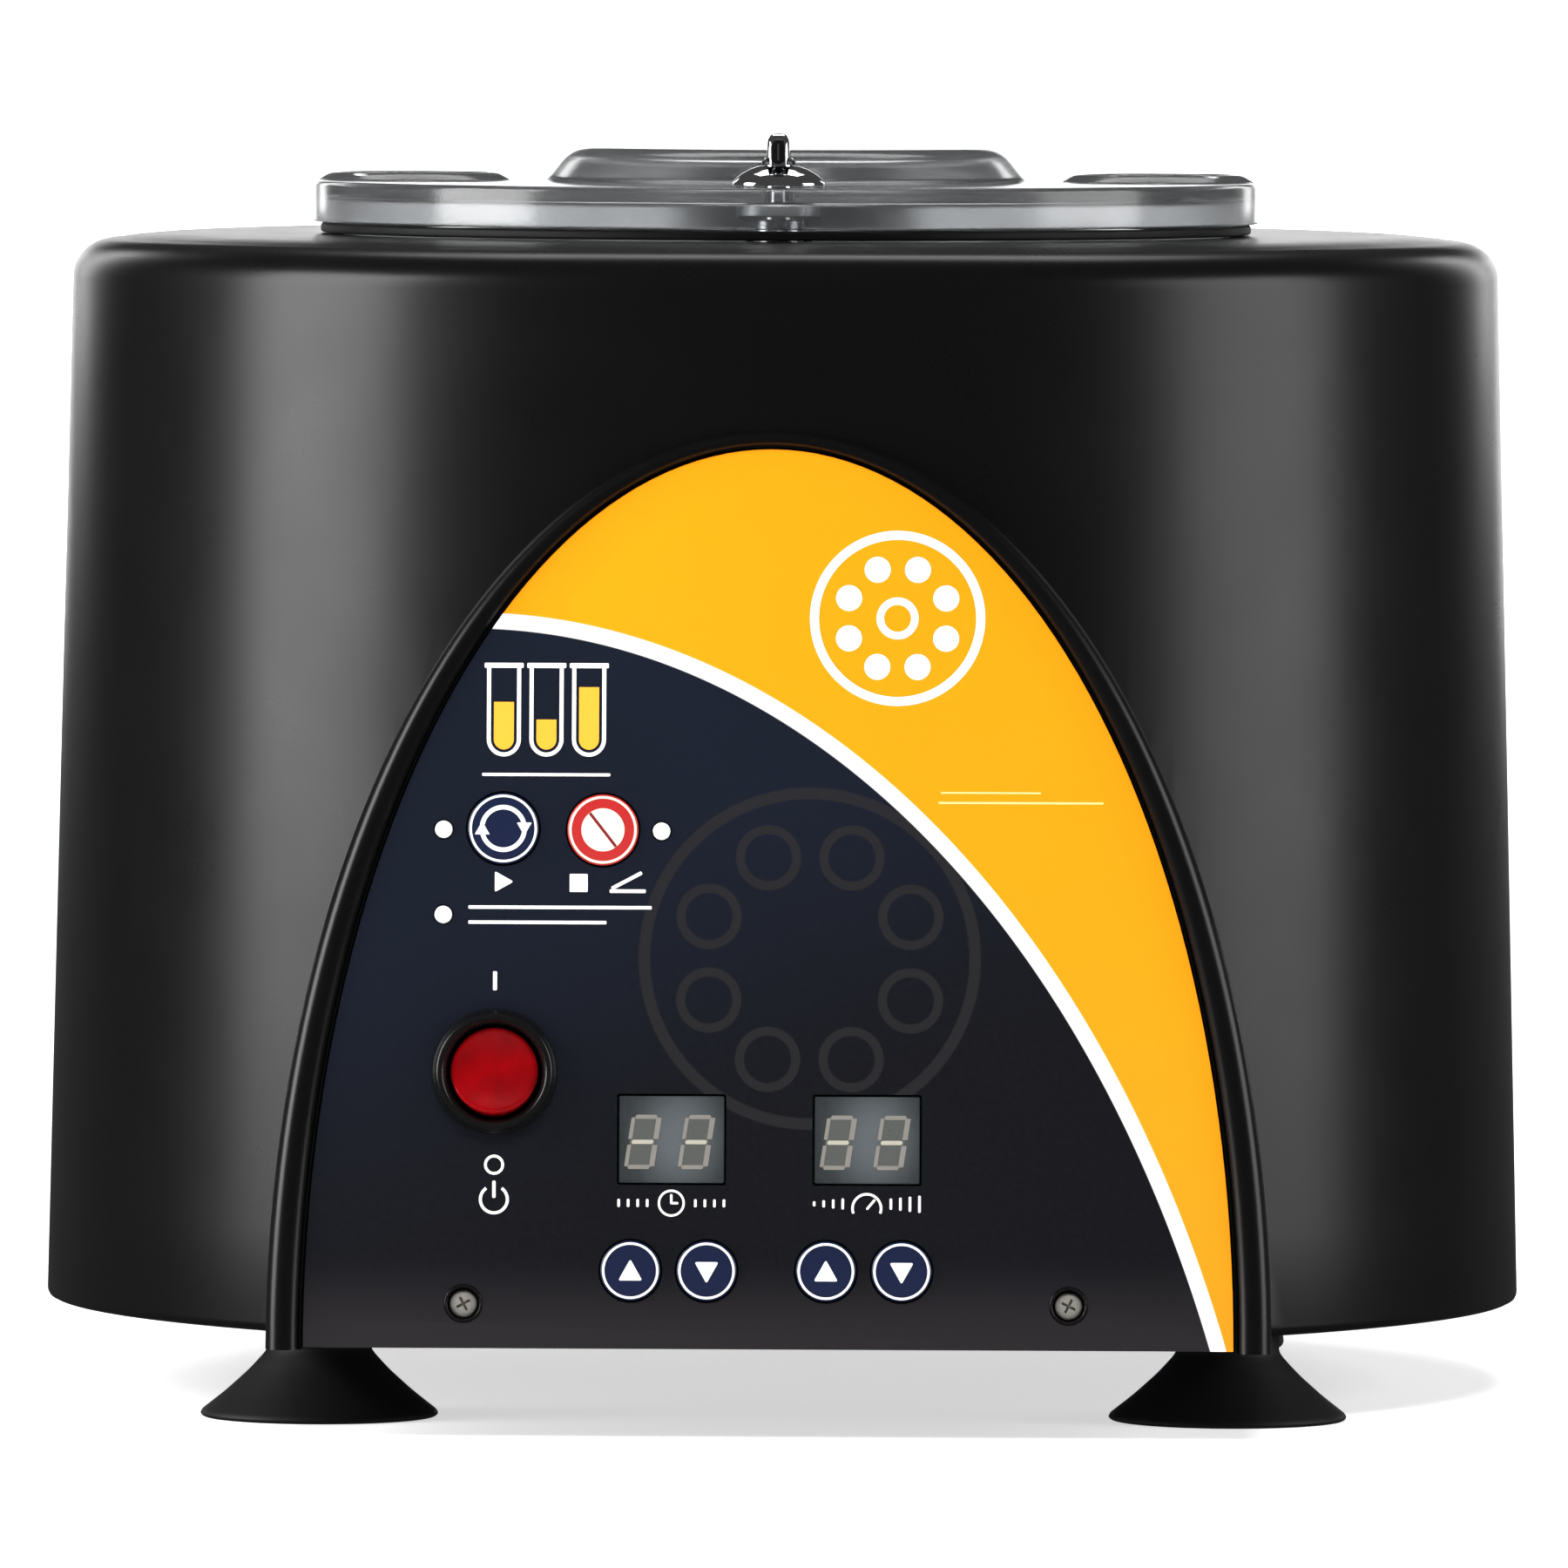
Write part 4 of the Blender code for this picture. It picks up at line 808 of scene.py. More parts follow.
def power_switch():
    reach, swing = 0.0106, 0.00905
    cup = [(0, -0.0240), (reach, -0.0240, 0.001), (reach, 0.0001), (0.01245, 0.0001),
           (0.01245, 0.0009, 0.0006)]
    cup += [(0.0119, 0.0016, 0.0004), (0.0114, 0.0026, 0.0009), (0.0104, 0.0026, 0.0009),
            (0.0096, 0.0010, 0.0008)]
    cup += [(swing + FIT, -0.0005), (swing + FIT, -0.0100), (0, -0.0100)]
    made = turned(soften(cup, 0.0003, 5), 128)
    show(made, "switch_cup", "housing", "panel_black", "switch_bezel", finish=BLACK_TRIM,
         matrix=at_panel(*SWITCH))
    radius, sides = 0.0087, 96

    def face(r, a):
        y = r * math.sin(a)
        edge = max(0.0, r - (radius - 0.0011)) / 0.0011
        top = 0.0010 + 20.0 * y * y - 0.0007 * (1 - math.sqrt(max(0.0, 1 - edge * edge)))
        return min(top, math.sqrt(max(0.0, (swing - 0.00004) ** 2 - r * r)))

    turn = [2 * math.pi * k / sides for k in range(sides)]
    rings = [[Vector((0, 0, -0.0065))]]
    for r, z in ((0.0055, -0.0065), (0.0061, -0.0063), (0.0082, -0.0037), (radius, -0.0022)):
        rings.append([Vector((r * math.cos(a), r * math.sin(a), z)) for a in turn])
    inner = [radius - 0.0011 * (1 - math.sin(math.pi / 2 * (6 - k) / 6)) for k in range(7)]
    inner += [radius * k / 14 for k in range(12, 0, -1)]
    for r in inner:
        rings.append([Vector((r * math.cos(a), r * math.sin(a), face(r, a))) for a in turn])
    rings.append([Vector((0, 0, face(0, 0)))])
    rocker = skin(rings)
    matrix = at_panel(*SWITCH) @ spin(-math.radians(10), "X")
    show(rocker, "rocker_cap", "rocker", "rocker_red", "power_rocker", finish=ROCKER_RED, matrix=matrix,
         angle=50)


def printed_marks():
    """Plain pictograms on the film: on and off, power, run, stop, lid, clock, dial, a tube and a rotor."""
    low, high = -0.0001, 0.00006
    parts = []

    def bar(x, y, half_x, half_y, ink=INK, corner=0.0002, turn=0.0):
        made = prism(rectangle(half_x, half_y, min(corner, half_x * 0.9, half_y * 0.9), steps=3), low, high)
        parts.append((turn_up(made, move((x, y, 0)) @ spin(turn)), ink))

    def ring(x, y, radius, width, ink=INK, sides=64):
        parts.append((flat_ring(radius - width, radius, (x, y), low, high, sides), ink))

    def dot(x, y, radius, ink=INK):
        parts.append((turned([(0, low), (radius, low), (radius, high), (0, high)], 40, False, (x, y)), ink))

    sx, sy = SWITCH
    bar(sx, sy + 0.0182, 0.0004, 0.0019)
    ring(sx, sy - 0.0185, 0.0020, 0.00055)
    parts.append((arc_band(0.0024, 0.0030, math.radians(125), math.radians(415), low, high,
                           (sx, sy - 0.0254)), INK))
    bar(sx, sy - 0.0234, 0.00034, 0.0017)
    rx, ry = panel_place("run_key")
    parts.append((turn_up(triangle(0.0021, 1, (0, 0), low, high),
                          move((rx, ry - 0.0106, 0)) @ spin(-QUARTER)), INK))
    tx, ty = panel_place("stop_key")
    bar(tx - 0.0048, ty - 0.0106, 0.0018, 0.0018)
    bar(tx + 0.0050, ty - 0.0122, 0.0036, 0.00036)
    bar(tx + 0.0048, ty - 0.0101, 0.0034, 0.00036, turn=math.radians(28))
    fx, fy = panel_place("fault_lamp")
    for k, reach in enumerate((0.0183, 0.0138)):
        bar(fx + 0.0050 + reach, fy + 0.0015 - 0.0030 * k, reach, 0.00034)
    dx, dy = panel_place("time_display")
    ring(dx, dy - 0.0127, 0.0027, 0.00045)
    bar(dx, dy - 0.0119, 0.00024, 0.0010)
    bar(dx + 0.0006, dy - 0.0127, 0.0008, 0.00024)
    vx, vy = panel_place("speed_display")
    parts.append((arc_band(0.0026, 0.0031, math.radians(-20), math.radians(200), low, high,
                           (vx, vy - 0.0136)), INK))
    bar(vx + 0.0008, vy - 0.0128, 0.00024, 0.0013, turn=math.radians(-40))
    for k in range(4):
        for side in (-1, 1):
            bar(dx + side * (0.0105 - 0.0019 * k), dy - 0.0127, 0.00026, 0.0008)
            bar(vx + side * (0.0105 - 0.0019 * k), vy - 0.0127, 0.00026,
                0.0011 + side * (0.0006 - 0.0002 * k))
    # Three tubes over the keys
    width, wall, low_end = 0.0034, 0.0008, (0, -0.0060)
    outline = [(-width, 0.0085), *curve(width, math.pi, 2 * math.pi, 16, low_end), (width, 0.0085)]
    outline += [(width - wall, 0.0085), *curve(width - wall, 2 * math.pi, math.pi, 16, low_end),
                (wall - width, 0.0085)]
    for k, level in enumerate((0.0015, -0.0020, 0.0045)):
        px, py = -0.0533 + 0.0085 * k, 0.1275
        parts.append((prism([(px + x, py + y) for x, y in outline], low, high), INK))
        bar(px, py + 0.0088, width + 0.0005, 0.0005)
        fill = [(0.0014 - width, level), *curve(width - 0.0014, math.pi, 2 * math.pi, 16, low_end)]
        fill.append((width - 0.0014, level))
        parts.append((prism([(px + x, py + y) for x, y in fill], low, high), AMBER_INK))
    bar(-0.0448, 0.1145, 0.0128, 0.00030)
    # The rotor pictogram on the amber field
    cx, cy, reach = 0.0252, 0.1460, 0.0153
    ring(cx, cy, reach + 0.0022, 0.0018, sides=96)
    for k in range(8):
        a = 2 * math.pi * (k + 0.5) / 8
        dot(cx + 0.0105 * math.cos(a), cy + 0.0105 * math.sin(a), 0.0026)
    ring(cx, cy, 0.0042, 0.0015)
    bar(0.0500, 0.1092, 0.0165, 0.00022, PALE_INK)
    bar(0.0440, 0.1112, 0.0100, 0.00018, PALE_INK)
    show(merge(*parts), "panel_marks", "housing", "panel_overlay", matrix=PANEL)


# Chamber and rotor
SHAFT_RADIUS, TUBE_COUNT, TUBE_ANGLE = 0.004, 8, math.radians(33)
MOUTH_RADIUS, MOUTH_Z = 0.042, 0.195
SLEEVE_RADIUS, SLEEVE_BORE, SLEEVE_LENGTH, COLLAR_RADIUS = 0.0096, 0.0085, 0.100, 0.0116
ROTOR_RADIUS, HUB_RADIUS = 0.069, 0.012
BOWL_LOW, BOWL_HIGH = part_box("chamber_bowl")
BOWL_WALL = 0.002
BOWL_FLOOR_Z = BOWL_LOW.z + BOWL_WALL


def chamber_bowl():
    floor, wall, radius, top = BOWL_FLOOR_Z, BOWL_WALL, 0.108, BOWL_HIGH.z
    outer = [(0.0140, floor - wall), (0.0990, floor - wall, 0.006), (radius + wall, floor + 0.010, 0.010)]
    outer += [(radius + wall, top - wall, 0.001), (0.118, top - wall), (0.118, top), (radius, top, 0.0012)]
    inner = [(radius, floor + 0.0105, 0.009), (0.0985, floor, 0.006), (0.0140, floor)]
    bowl = turned(soften(outer + inner, 0.0004, 6, True), 128, True, AXIS)
    hole = along_y(turned([(0.00285, -0.125), (0.00285, -0.095)], 32), (0, 0, 0))
    turn_up(hole, move((0, DRUM_Y, 0.225)))
    show(cut(bowl, hole), "guard_bowl", "housing", "bowl_metal", "chamber_bowl", finish=BOWL)
    low, high, bore = floor - 0.010, floor + 0.006, SHAFT_RADIUS + FIT
    boot = [(bore, low), (0.0136, low), (0.0136, floor + GAP, 0.0001), (0.0170, floor + GAP),
            (0.0170, floor + 0.0020)]
    boot += [(0.0100, floor + 0.0020, 0.002), (0.0070, high), (bore, high)]
    made = turned(soften(boot, 0.0005, 4, True), 64, True, AXIS)
    show(made, "shaft_seal", "housing", "black_rubber", "shaft_boot", finish=RUBBER)


def cone_z(radius):
    return MOUTH_Z + (radius - MOUTH_RADIUS) * math.tan(TUBE_ANGLE)


def tube_matrix(index):
    turn = move((0, DRUM_Y, 0)) @ spin(2 * math.pi * (index + 0.5) / TUBE_COUNT)
    return turn @ move((MOUTH_RADIUS, 0, MOUTH_Z)) @ spin(-TUBE_ANGLE, "Y")


def rotor():
    hub_low, rim, bore = cone_z(HUB_RADIUS) - 0.016, cone_z(ROTOR_RADIUS), SHAFT_RADIUS + FIT
    top = cone_z(HUB_RADIUS + 0.002)
    profile = [(bore, hub_low), (HUB_RADIUS, hub_low), (HUB_RADIUS, cone_z(HUB_RADIUS) - 0.006, 0.002)]
    profile += [(HUB_RADIUS + 0.004, cone_z(HUB_RADIUS + 0.004) - 0.00477)]
    profile += [(ROTOR_RADIUS - 0.0035, rim - 0.0070, 0.001), (ROTOR_RADIUS - 0.0035, rim - 0.0150)]
    profile += [(ROTOR_RADIUS, rim - 0.0150, 0.001), (ROTOR_RADIUS, rim, 0.0012),
                (HUB_RADIUS + 0.002, top, 0.002)]
    profile += [(bore, top)]
    body = turned(soften(profile, 0.0004, 4, True), 24 * 7, True, AXIS)
    sleeve_hole, face = SLEEVE_RADIUS + GAP, COLLAR_RADIUS + FIT
    holes = []
    cutter = [(sleeve_hole, -0.03), (sleeve_hole, -0.0004), (face, -0.0004), (face, 0.0010),
              (face + 0.0012, 0.02)]
    for k in range(TUBE_COUNT):
        holes.append(turn_up(turned(cutter, 48), tube_matrix(k)))
    show(cut(body, *holes), "rotor_disc", "rotor", "rotor_alloy", "rotor_body", finish=ALLOY)
    lip = 0.0018
    round_end = (0, SLEEVE_RADIUS - SLEEVE_LENGTH)
    sleeve = curve(SLEEVE_RADIUS, -QUARTER, 0, 8, round_end)
    sleeve += [(SLEEVE_RADIUS, 0), (COLLAR_RADIUS - 0.0004, 0), (COLLAR_RADIUS, 0.0004)]
    sleeve += [(COLLAR_RADIUS, lip - 0.0005), (COLLAR_RADIUS - 0.0005, lip), (SLEEVE_BORE + 0.0005, lip)]
    sleeve += [(SLEEVE_BORE, lip - 0.0005), *curve(SLEEVE_BORE, 0, -QUARTER, 8, round_end)]
    for k in range(TUBE_COUNT):
        made = turn_up(turned(sleeve, 48), tube_matrix(k))
        show(made, f"sleeve_{k + 1}", "rotor", "bright_steel", f"tube_sleeve_{k + 1}", finish=STEEL)
    low = top + GAP
    rings = []
    levels = [(0.0080, 0), (0.0096, 0.0006), (0.0100, 0.0016), (0.0100, 0.0118), (0.0096, 0.0132),
              (0.0082, 0.0140)]
    for radius, rise in levels:
        ring = circle(radius, low + rise, 96, AXIS)
        for k, point in enumerate(ring):
            dip = 0.00085 * (0.5 - 0.5 * math.cos(2 * math.pi * k / 12))
            point.xy = Vector(AXIS) + (point.xy - Vector(AXIS)) * (1 - dip / radius)
        rings.append(ring)
    dish = [circle(r, low + z, 96, AXIS) for r, z in ((0.0066, 0.0140), (0.0058, 0.0134), (0.0030, 0.0130))]
    knob = skin(rings + dish + [[Vector((0, DRUM_Y, low + 0.0130))]])
    bored = rods([AXIS], bore, low - 0.01, low + 0.010, 40)
    show(cut(knob, bored), "rotor_nut", "rotor", "panel_black", "rotor_knob", finish=BLACK_TRIM)


# Lid, hinge and latch


def lid():
    top, plateau, edge = LID_TOP, LID_HIGH.z, 0.0979
    flat, skirt, rise = 0.003, 0.0030, 0.0492
    profile = [(0, plateau), (rise - 0.0048, plateau, 0.004), (rise + 0.0004, top + 0.0005, 0.0022)]
    profile += [(rise + 0.0022, top, 0.0006), (edge, top, 0.0012), (edge, LID_LOW.z, 0.0005)]
    profile += [(edge - skirt, LID_LOW.z, 0.0005), (edge - skirt, top - flat, 0.0012),
                (rise - 0.0020, top - flat, 0.001)]
    profile += [(rise - 0.0062, plateau - flat, 0.002), (0, plateau - flat)]
    shell = turned(soften(profile, 0.0008, 6), 144, centre=AXIS)
    for side in (-1, 1):
        at = (side * 0.077, DRUM_Y)
        ring = [(0.0146, top - 0.0012), (0.0200, top - 0.0012), (0.0200, top + 0.0001),
                (0.0176, top + 0.0015, 0.0012)]
        ring += [(0.0160, top + 0.0017, 0.0008), (0.0152, top + 0.0013, 0.0004), (0.0146, top + 0.0002)]
        shell = join(shell, turned(soften(ring, 0.0003, 4, True), 72, True, at))
        dish = [(0.0150, top - 0.0009), (0.0150, top + 0.004)]
        shell = cut(shell, turned(dish, 72, False, at))
    hole = rods([(0, LATCH_Y)], 0.0033, 0.23, 0.26, 48)
    show(cut(shell, hole), "lid_cover", "lid", "lid_clear", "lid_shell", finish=CLEAR)
    low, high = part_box("lid_gasket")
    outer = high.x
    ring = [(outer - 0.0041, low.z), (outer, low.z), (outer, high.z), (outer - 0.0041, high.z)]
    seal = turned(soften(ring, 0.0006, 4, True), 144, True, AXIS)
    show(seal, "lid_seal", "housing", "black_rubber", "lid_gasket", finish=RUBBER)


def screw_head(at, radius, height, axis="Z"):
    """A pan head with a cross recess, standing on a point."""
    profile = [(0, 0), (radius, 0), (radius, height * 0.5, height * 0.4), (radius * 0.6, height), (0, height)]
    head = turned(soften(profile, 0.0003), 40)
    arm, thin = radius * 0.55, radius * 0.11
    cross = [block((-a, -b, height * 0.4), (a, b, height * 2)) for a, b in ((arm, thin), (thin, arm))]
    head = cut(head, *cross)
    if axis == "Y":
        head.data.transform(spin(-QUARTER, "X"))
    return turn_up(head, move(at))


def hinge():
    ear_low, ear_high, radius, bore = 0.0205, 0.0235, 0.005, 0.0029
    low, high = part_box("hinge_bracket")
    centre = Vector((0, HINGE.y, HINGE.z))
    outline = rectangle(0.026, 0.011, 0.0025, (0, HINGE.y + 0.005))
    foot = prism(outline, low.z, low.z + 0.0020, 0.0004)
    ears = []
    for side in (-1, 1):
        near, far = sorted((side * ear_low, side * ear_high))
        shape = [(-0.0048, low.z + 0.0006 - HINGE.z), (0.0048, low.z + 0.0006 - HINGE.z)]
        shape += curve(radius, 0, math.pi, 20)
        ear = prism(shape, near, far, 0.0003)
        ears.append(turn_up(ear, move(centre) @ SIDE_ON))
    hole = along_x(turned([(bore, -0.03), (bore, 0.03)], 32), centre)
    bracket = cut(join(foot, *ears), hole)
    heads = [(screw_head((side * 0.013, HINGE.y + 0.0112, low.z + 0.0020), 0.0027, 0.0014),
              STEEL) for side in (-1, 1)]
    show(merge((bracket, PLATED), *heads), "hinge_base", "housing", "plated_sheet", "hinge_bracket")
    half = ear_low - 0.0007
    knuckle = along_x(turned(soften([(bore, -half), (radius, -half), (radius, half), (bore, half)],
                                               0.0004, 3, True), 48, True), centre)
    lid_top = LID_TOP + GAP
    shape = [(-0.0250, lid_top - HINGE.z), (-0.0250, lid_top + 0.0014 - HINGE.z), (-0.0040, 0.0048),
             (0.0006, 0.0048)]
    shape += [(0.0006, 0.0032), (-0.0030, lid_top - HINGE.z)]
    strap = turn_up(prism(shape, -half + 0.0003, half - 0.0003, 0.0003),
                    move(centre) @ SIDE_ON)
    leaf = join(knuckle, strap)
    heads = [(screw_head((side * 0.0105, HINGE.y - 0.0195, lid_top + 0.0018), 0.0024, 0.0012),
              STEEL) for side in (-1, 1)]
    show(merge((leaf, PLATED), *heads), "hinge_strap", "lid", "plated_sheet", "hinge_leaf")
    low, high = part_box("hinge_pin")
    pin = [(0, low.x), (0.0025, low.x, 0.0006), (0.0025, high.x - 0.0029), (0.0038, high.x - 0.0029)]
    pin += [(0.0038, high.x, 0.0012), (0, high.x)]
    show(along_x(turned(soften(pin, 0.0003), 48), centre), "hinge_rod", "housing", "bright_steel",
         "hinge_pin",
         finish=STEEL)


def latch():
    top = LID_TOP + GAP
    at, hole = (0, LATCH_Y), 0.0033
    dome = [(hole, top), (0.0095, top), (0.0095, top + 0.0007, 0.0003), (0.0080, top + 0.0022, 0.0012)]
    dome += [(0.0056, top + 0.0035, 0.0014), (0.0040, top + 0.0040), (hole, top + 0.0040)]
    made = turned(soften(dome, 0.0002, 5, True), TURNS, True, at)
    show(made, "latch_cover", "lid", "chrome", "latch_dome", finish=CHROME)
    low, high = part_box("latch_nut")
    ring = [(hole, low.z), (0.0085, low.z), (0.0085, high.z), (hole, high.z)]
    nut = turned(soften(ring, 0.0004, 3, True), 64, True, at)
    show(nut, "latch_ring", "lid", "bright_steel", "latch_nut", finish=SATIN)
    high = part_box("latch_knob")[1].z
    spindle = turned(soften([(0, 0.2336), (0.0029, 0.2336), (0.0029, 0.2550), (0, 0.2550)], 0.0003), 48)
    collar = turned(soften([(0, 0.2536), (0.0036, 0.2536), (0.0034, 0.2545), (0, 0.2547)], 0.0002), 48)
    side = [(-0.0070, 0.2532), (-0.0032, 0.2541), (0.0032, 0.2541), (0.0070, 0.2532), (0.0070, 0.2572, 0.003)]
    side += [(0.0054, high, 0.003), (-0.0054, high, 0.003), (-0.0070, 0.2572, 0.003)]
    side = soften(side, 0.0004, 5, True)
    grip = turn_up(prism(side, -0.0023, 0.0023, 0.0017, 6), SIDE_ON)
    inlays = []
    for end in (-1, 1):
        face_on = move((0, LATCH_Y + end * 0.0050, 0.2562)) @ spin(-end * QUARTER, "X")
        inlay = prism(rectangle(0.00155, 0.0026, 0.0014), 0, 0.00206, 0.0004)
        # A thin chrome strip down each black inlay stands in for a painted highlight.
        highlight_strip = prism(rectangle(0.00016, 0.0017, 0.00015), 0.0004, 0.00214)
        inlays += [(turn_up(inlay, face_on), BLACK_TRIM), (turn_up(highlight_strip, face_on), CHROME)]
    parts = [(turn_up(made, move((0, LATCH_Y, 0))), ink)
             for made, ink in ((spindle, CHROME), (collar, BLACK_TRIM), (grip, CHROME))]
    show(merge(*parts, *inlays), "latch_grip", "latch", "chrome", "latch_knob")
    socket, barrel = 0.0033, 0.0050
    cam = [(0, 0.2330), (socket, 0.2330), (socket, 0.2427), (barrel, 0.2427, 0.0004),
           (barrel, 0.2282, 0.0003)]
    cam += [(0.0030, 0.2282), (0.0030, 0.2220), (barrel, 0.2220, 0.0003), (barrel, 0.2195, 0.0006),
            (0, 0.2195)]
    hook = block((-0.0040, 0.0015, 0.2284), (0.0040, 0.0150, 0.2316), 0.0006)
    made = turn_up(join(turned(soften(cam, 0.0002), 64), hook), move((0, LATCH_Y, 0)))
    show(made, "latch_hook", "latch", "bright_steel", "latch_cam", finish=STEEL)


# Feet and rear


def feet():
    """Suction cups in front and plain rubber feet behind."""
    radius, plain_radius = 0.0242, 0.0130
    cup = [(0, 0.0046), (0.0120, 0.0030, 0.002), (0.0205, 0.0001, 0.001), (radius - 0.0008, 0),
           (radius, 0.0006)]
    cup += [(radius - 0.0004, 0.0014, 0.0006), (0.0192, 0.0050, 0.002), (0.0142, 0.0095, 0.002)]
    cup += [(0.0112, 0.0128, 0.0012), (0.0104, 0.0140, 0.001), (0.0104, 0.0190, 0.0004)]
    plain = [(0, 0.0020), (0.0080, 0.0020, 0.0006), (0.0085, 0, 0.0003), (plain_radius - 0.0008, 0, 0.0005)]
    plain += [(plain_radius, 0.0010, 0.0006), (0.0112, 0.0184, 0.0008), (0.0106, 0.0190, 0.0004)]
    stud = [(0.0025, 0.0190), (0.0025, 0.0300), (0, 0.0300)]
    for name in ("foot_front_left", "foot_front_right", "foot_rear_left", "foot_rear_right"):
        low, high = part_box(name)
        at = ((low.x + high.x) / 2, (low.y + high.y) / 2)
        profile = (cup if "front" in name else plain) + stud
        made = turned(soften(profile, 0.0004, 4), 80, centre=at)
        show(made, name.replace("foot", "cup"), "housing", "black_rubber", name, finish=RUBBER)


def service_recess():
    face = REAR_Y - RECESS_DEPTH
    upright = spin(QUARTER, "X")
    place = move((INLET_X, face, SERVICE_Z))
    corner = 0.0030
    body = turn_up(prism(rectangle(0.0136, 0.0099, 0.0022), -0.0015, 0.020, 0.0003), upright)
    flange = turn_up(prism(rectangle(0.0160, 0.0120, corner), -0.0025, -GAP, 0.0006), upright)
    socket = [(-0.0120, -0.0082), (0.0120, -0.0082), (0.0120, 0.0050), (0.0088, 0.0082), (-0.0088, 0.0082)]
    socket = soften([*socket, (-0.0120, 0.0050)], 0.0008, 4, True)
    hollow = turn_up(prism(socket, -0.0100, 0.0165), upright)
    inlet = turn_up(cut(join(body, flange), hollow), place)
    parts = [(inlet, BLACK_TRIM)]
    for x, z in ((-0.007, -0.0020), (0.007, -0.0020), (0, 0.0020)):
        blade = block((x - 0.001, -0.0178, z - 0.002), (x + 0.001, -0.001, z + 0.002), 0.0004)
        parts.append((turn_up(blade, place), STEEL))
    show(merge(*parts), "appliance_inlet", "housing", "panel_black", "power_inlet")
    cap = [(0, -0.028), (0.0060, -0.028), (0.0060, GAP), (0.0082, GAP), (0.0082, 0.0016, 0.0005)]
    cap += [(0.0068, 0.0022, 0.0003), (0.0066, 0.0046, 0.0006), (0, 0.0046)]
    fuse = along_y(turned(soften(cap, 0.0003), 64), (0, 0, 0))
    slot = block((-0.0040, 0.0036, -0.0006), (0.0040, 0.01, 0.0006))
    made = turn_up(cut(fuse, slot), move((FUSE_X, face, SERVICE_Z)))
    show(made, "fuse_cap", "housing", "panel_black", "fuse_holder", finish=BLACK_TRIM)


def carried_over():
    """CAD nodes whose shape is right as it is get their procedural finish."""
    finishes = {
        PLATED: ("base_plate", "motor_can", "motor_plate", "lock_solenoid"),
        STEEL: ("motor_shaft", "motor_bearing_top", "motor_bearing_bottom", "strike_plate", "lock_bolt"),
        RUBBER: ("motor_mount_1", "motor_mount_2", "motor_mount_3"),
        BOARD: ("control_board", "power_board"),
        BLACK_TRIM: ("control_panel", "lid_sensor"),
    }
    for material, names in finishes.items():
        for name in names:
            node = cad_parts[name]
            node.data.materials.clear()
            node.data.materials.append(material)


# Stage, light and camera


def area_light(name, place, target, size, power, mirrored=True):
    data = bpy.data.lights.new(name, "AREA")
    data.shape = "RECTANGLE"
    data.size, data.size_y = size
    data.energy = power
    made = bpy.data.objects.new(name, data)
    made.visible_glossy = mirrored
    made.visible_camera = False
    made.location = place
    made.rotation_euler = (Vector(target) - Vector(place)).to_track_quat("-Z", "Y").to_euler()
    bpy.context.scene.collection.objects.link(made)


def round_the_drum(azimuth, distance, z):
    """A place round the drum; azimuth 0 is straight in front, positive to the left as seen from there."""
    a = math.radians(azimuth)
    return (-distance * math.sin(a), DRUM_Y - distance * math.cos(a), z)


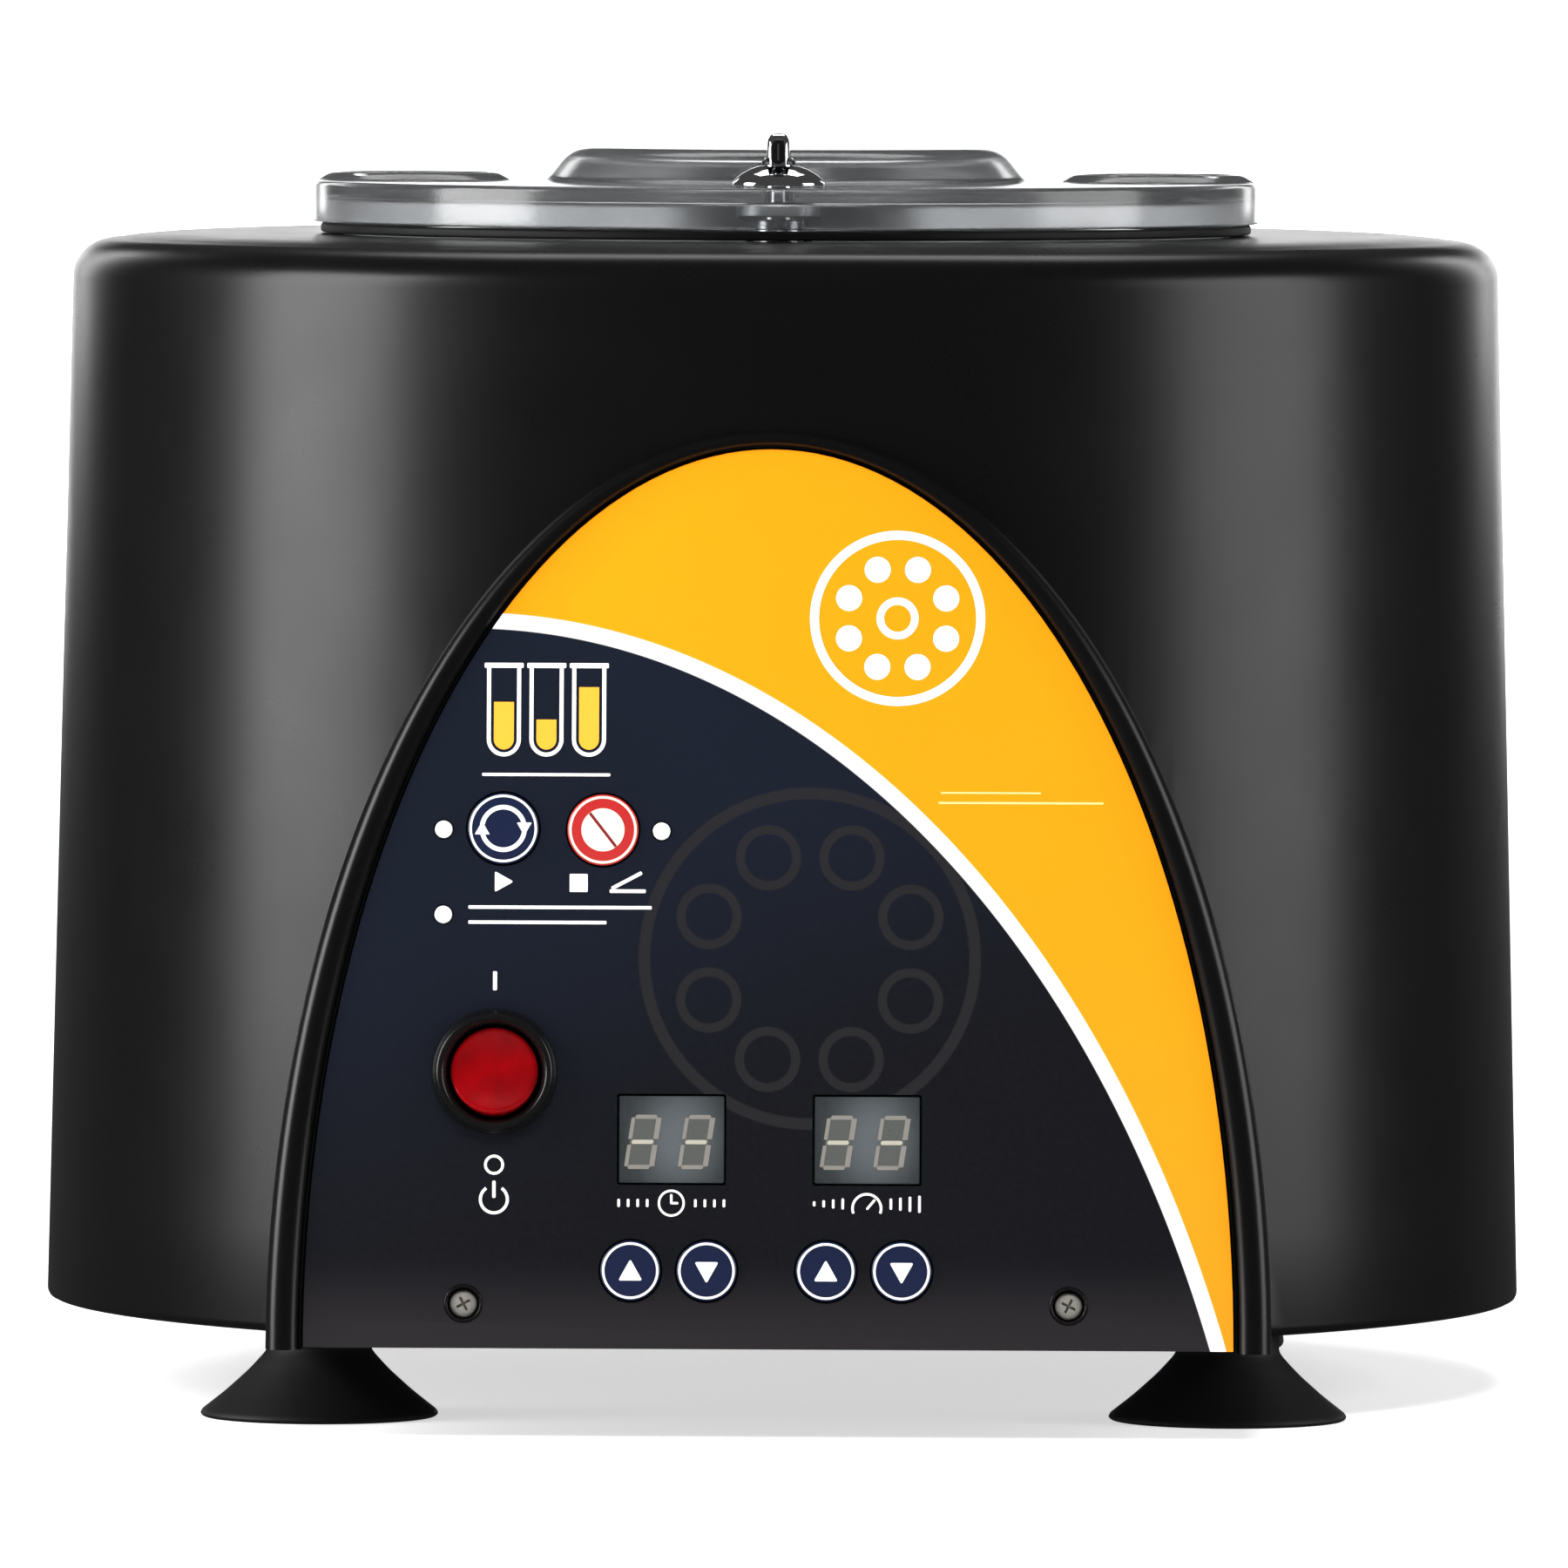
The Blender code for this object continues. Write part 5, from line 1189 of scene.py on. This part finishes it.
def stage():
    floor, wall = [finish(name, (0.93, 0.93, 0.93), 0.9, mottle=0.01, grain=0, size=40, scale=2,
                          Specular_IOR_Level=0.1,
                          Emission_Color=(1, 1, 1, 1), Emission_Strength=glow)
                   for name, glow in (("studio_paper", 0.6), ("studio_wall", 1.7))]
    ground = ((-9, -9, 0), (9, -9, 0), (9, 9, 0), (-9, 9, 0))
    upright = ((-1.5, 5.2, -0.02), (1.5, 5.2, -0.02), (1.5, 5.2, 0.95), (-1.5, 5.2, 0.95))
    for name, corners, paper, mirrored in (("studio_floor", ground, floor, False),
                                           ("studio_backdrop", upright, wall, True)):
        bm = bmesh.new()
        bm.faces.new([bm.verts.new(corner) for corner in corners])
        card = from_bmesh(bm)
        card.name = name
        card.data.materials.append(paper)
        card.visible_glossy = mirrored
        bpy.context.scene.collection.objects.link(card)

    middle = (0, DRUM_Y, 0.14)
    area_light("left_softbox", round_the_drum(76, 1.6, 0.56), middle, (0.85, 1.1), 34)
    area_light("right_softbox", round_the_drum(-79, 1.7, 0.50), middle, (0.95, 1.1), 18)
    for side, name in ((1, "rear_softbox_left"), (-1, "rear_softbox_right")):
        area_light(name, round_the_drum(side * 153, 3.0, 0.8), middle, (0.4, 1.3), 6)
    area_light("top_softbox", (0, DRUM_Y + 1.2, 2.2), middle, (1.6, 0.8), 14)
    area_light("front_key", (0, DRUM_Y - 2.0, 3.0), middle, (2.0, 1.0), 112, False)
    area_light("front_card", (0, DRUM_Y - 2.0, 3.0), middle, (2.0, 1.0), 12)
    area_light("backdrop_light", (0, 3.6, 2.2), (0, 5.2, 0.4), (2.6, 0.6), 75, False)
    world = bpy.data.worlds.new("studio")
    world.use_nodes = True
    tree = world.node_tree
    background = tree.nodes["Background"]
    background.inputs["Color"].default_value = (1, 1, 1, 1)
    seen = tree.nodes.new("ShaderNodeLightPath").outputs["Is Camera Ray"]
    strength = tree.nodes.new("ShaderNodeMapRange")
    strength.inputs["To Min"].default_value = 0.055
    strength.inputs["To Max"].default_value = 1.0
    tree.links.new(seen, strength.inputs["Value"])
    tree.links.new(strength.outputs[0], background.inputs["Strength"])
    bpy.context.scene.world = world
    bpy.context.scene.view_settings.view_transform = "Standard"


def camera():
    data = bpy.data.cameras.new("camera")
    data.lens = 451
    data.sensor_width = 36
    made = bpy.data.objects.new("camera", data)
    place, target = Vector((0.071, DRUM_Y - 4.069, 0.309)), Vector((0, DRUM_Y, 0.124))
    aim = (target - place).to_track_quat("-Z", "Y").to_matrix().to_4x4()
    made.matrix_world = move(place) @ aim @ spin(math.radians(0.2))
    bpy.context.scene.collection.objects.link(made)
    bpy.context.scene.camera = made


camera()
housing()
overlay()
panel_screws()
keys()
lamps()
displays()
power_switch()
printed_marks()
chamber_bowl()
rotor()
lid()
hinge()
latch()
feet()
service_recess()
carried_over()
stage()
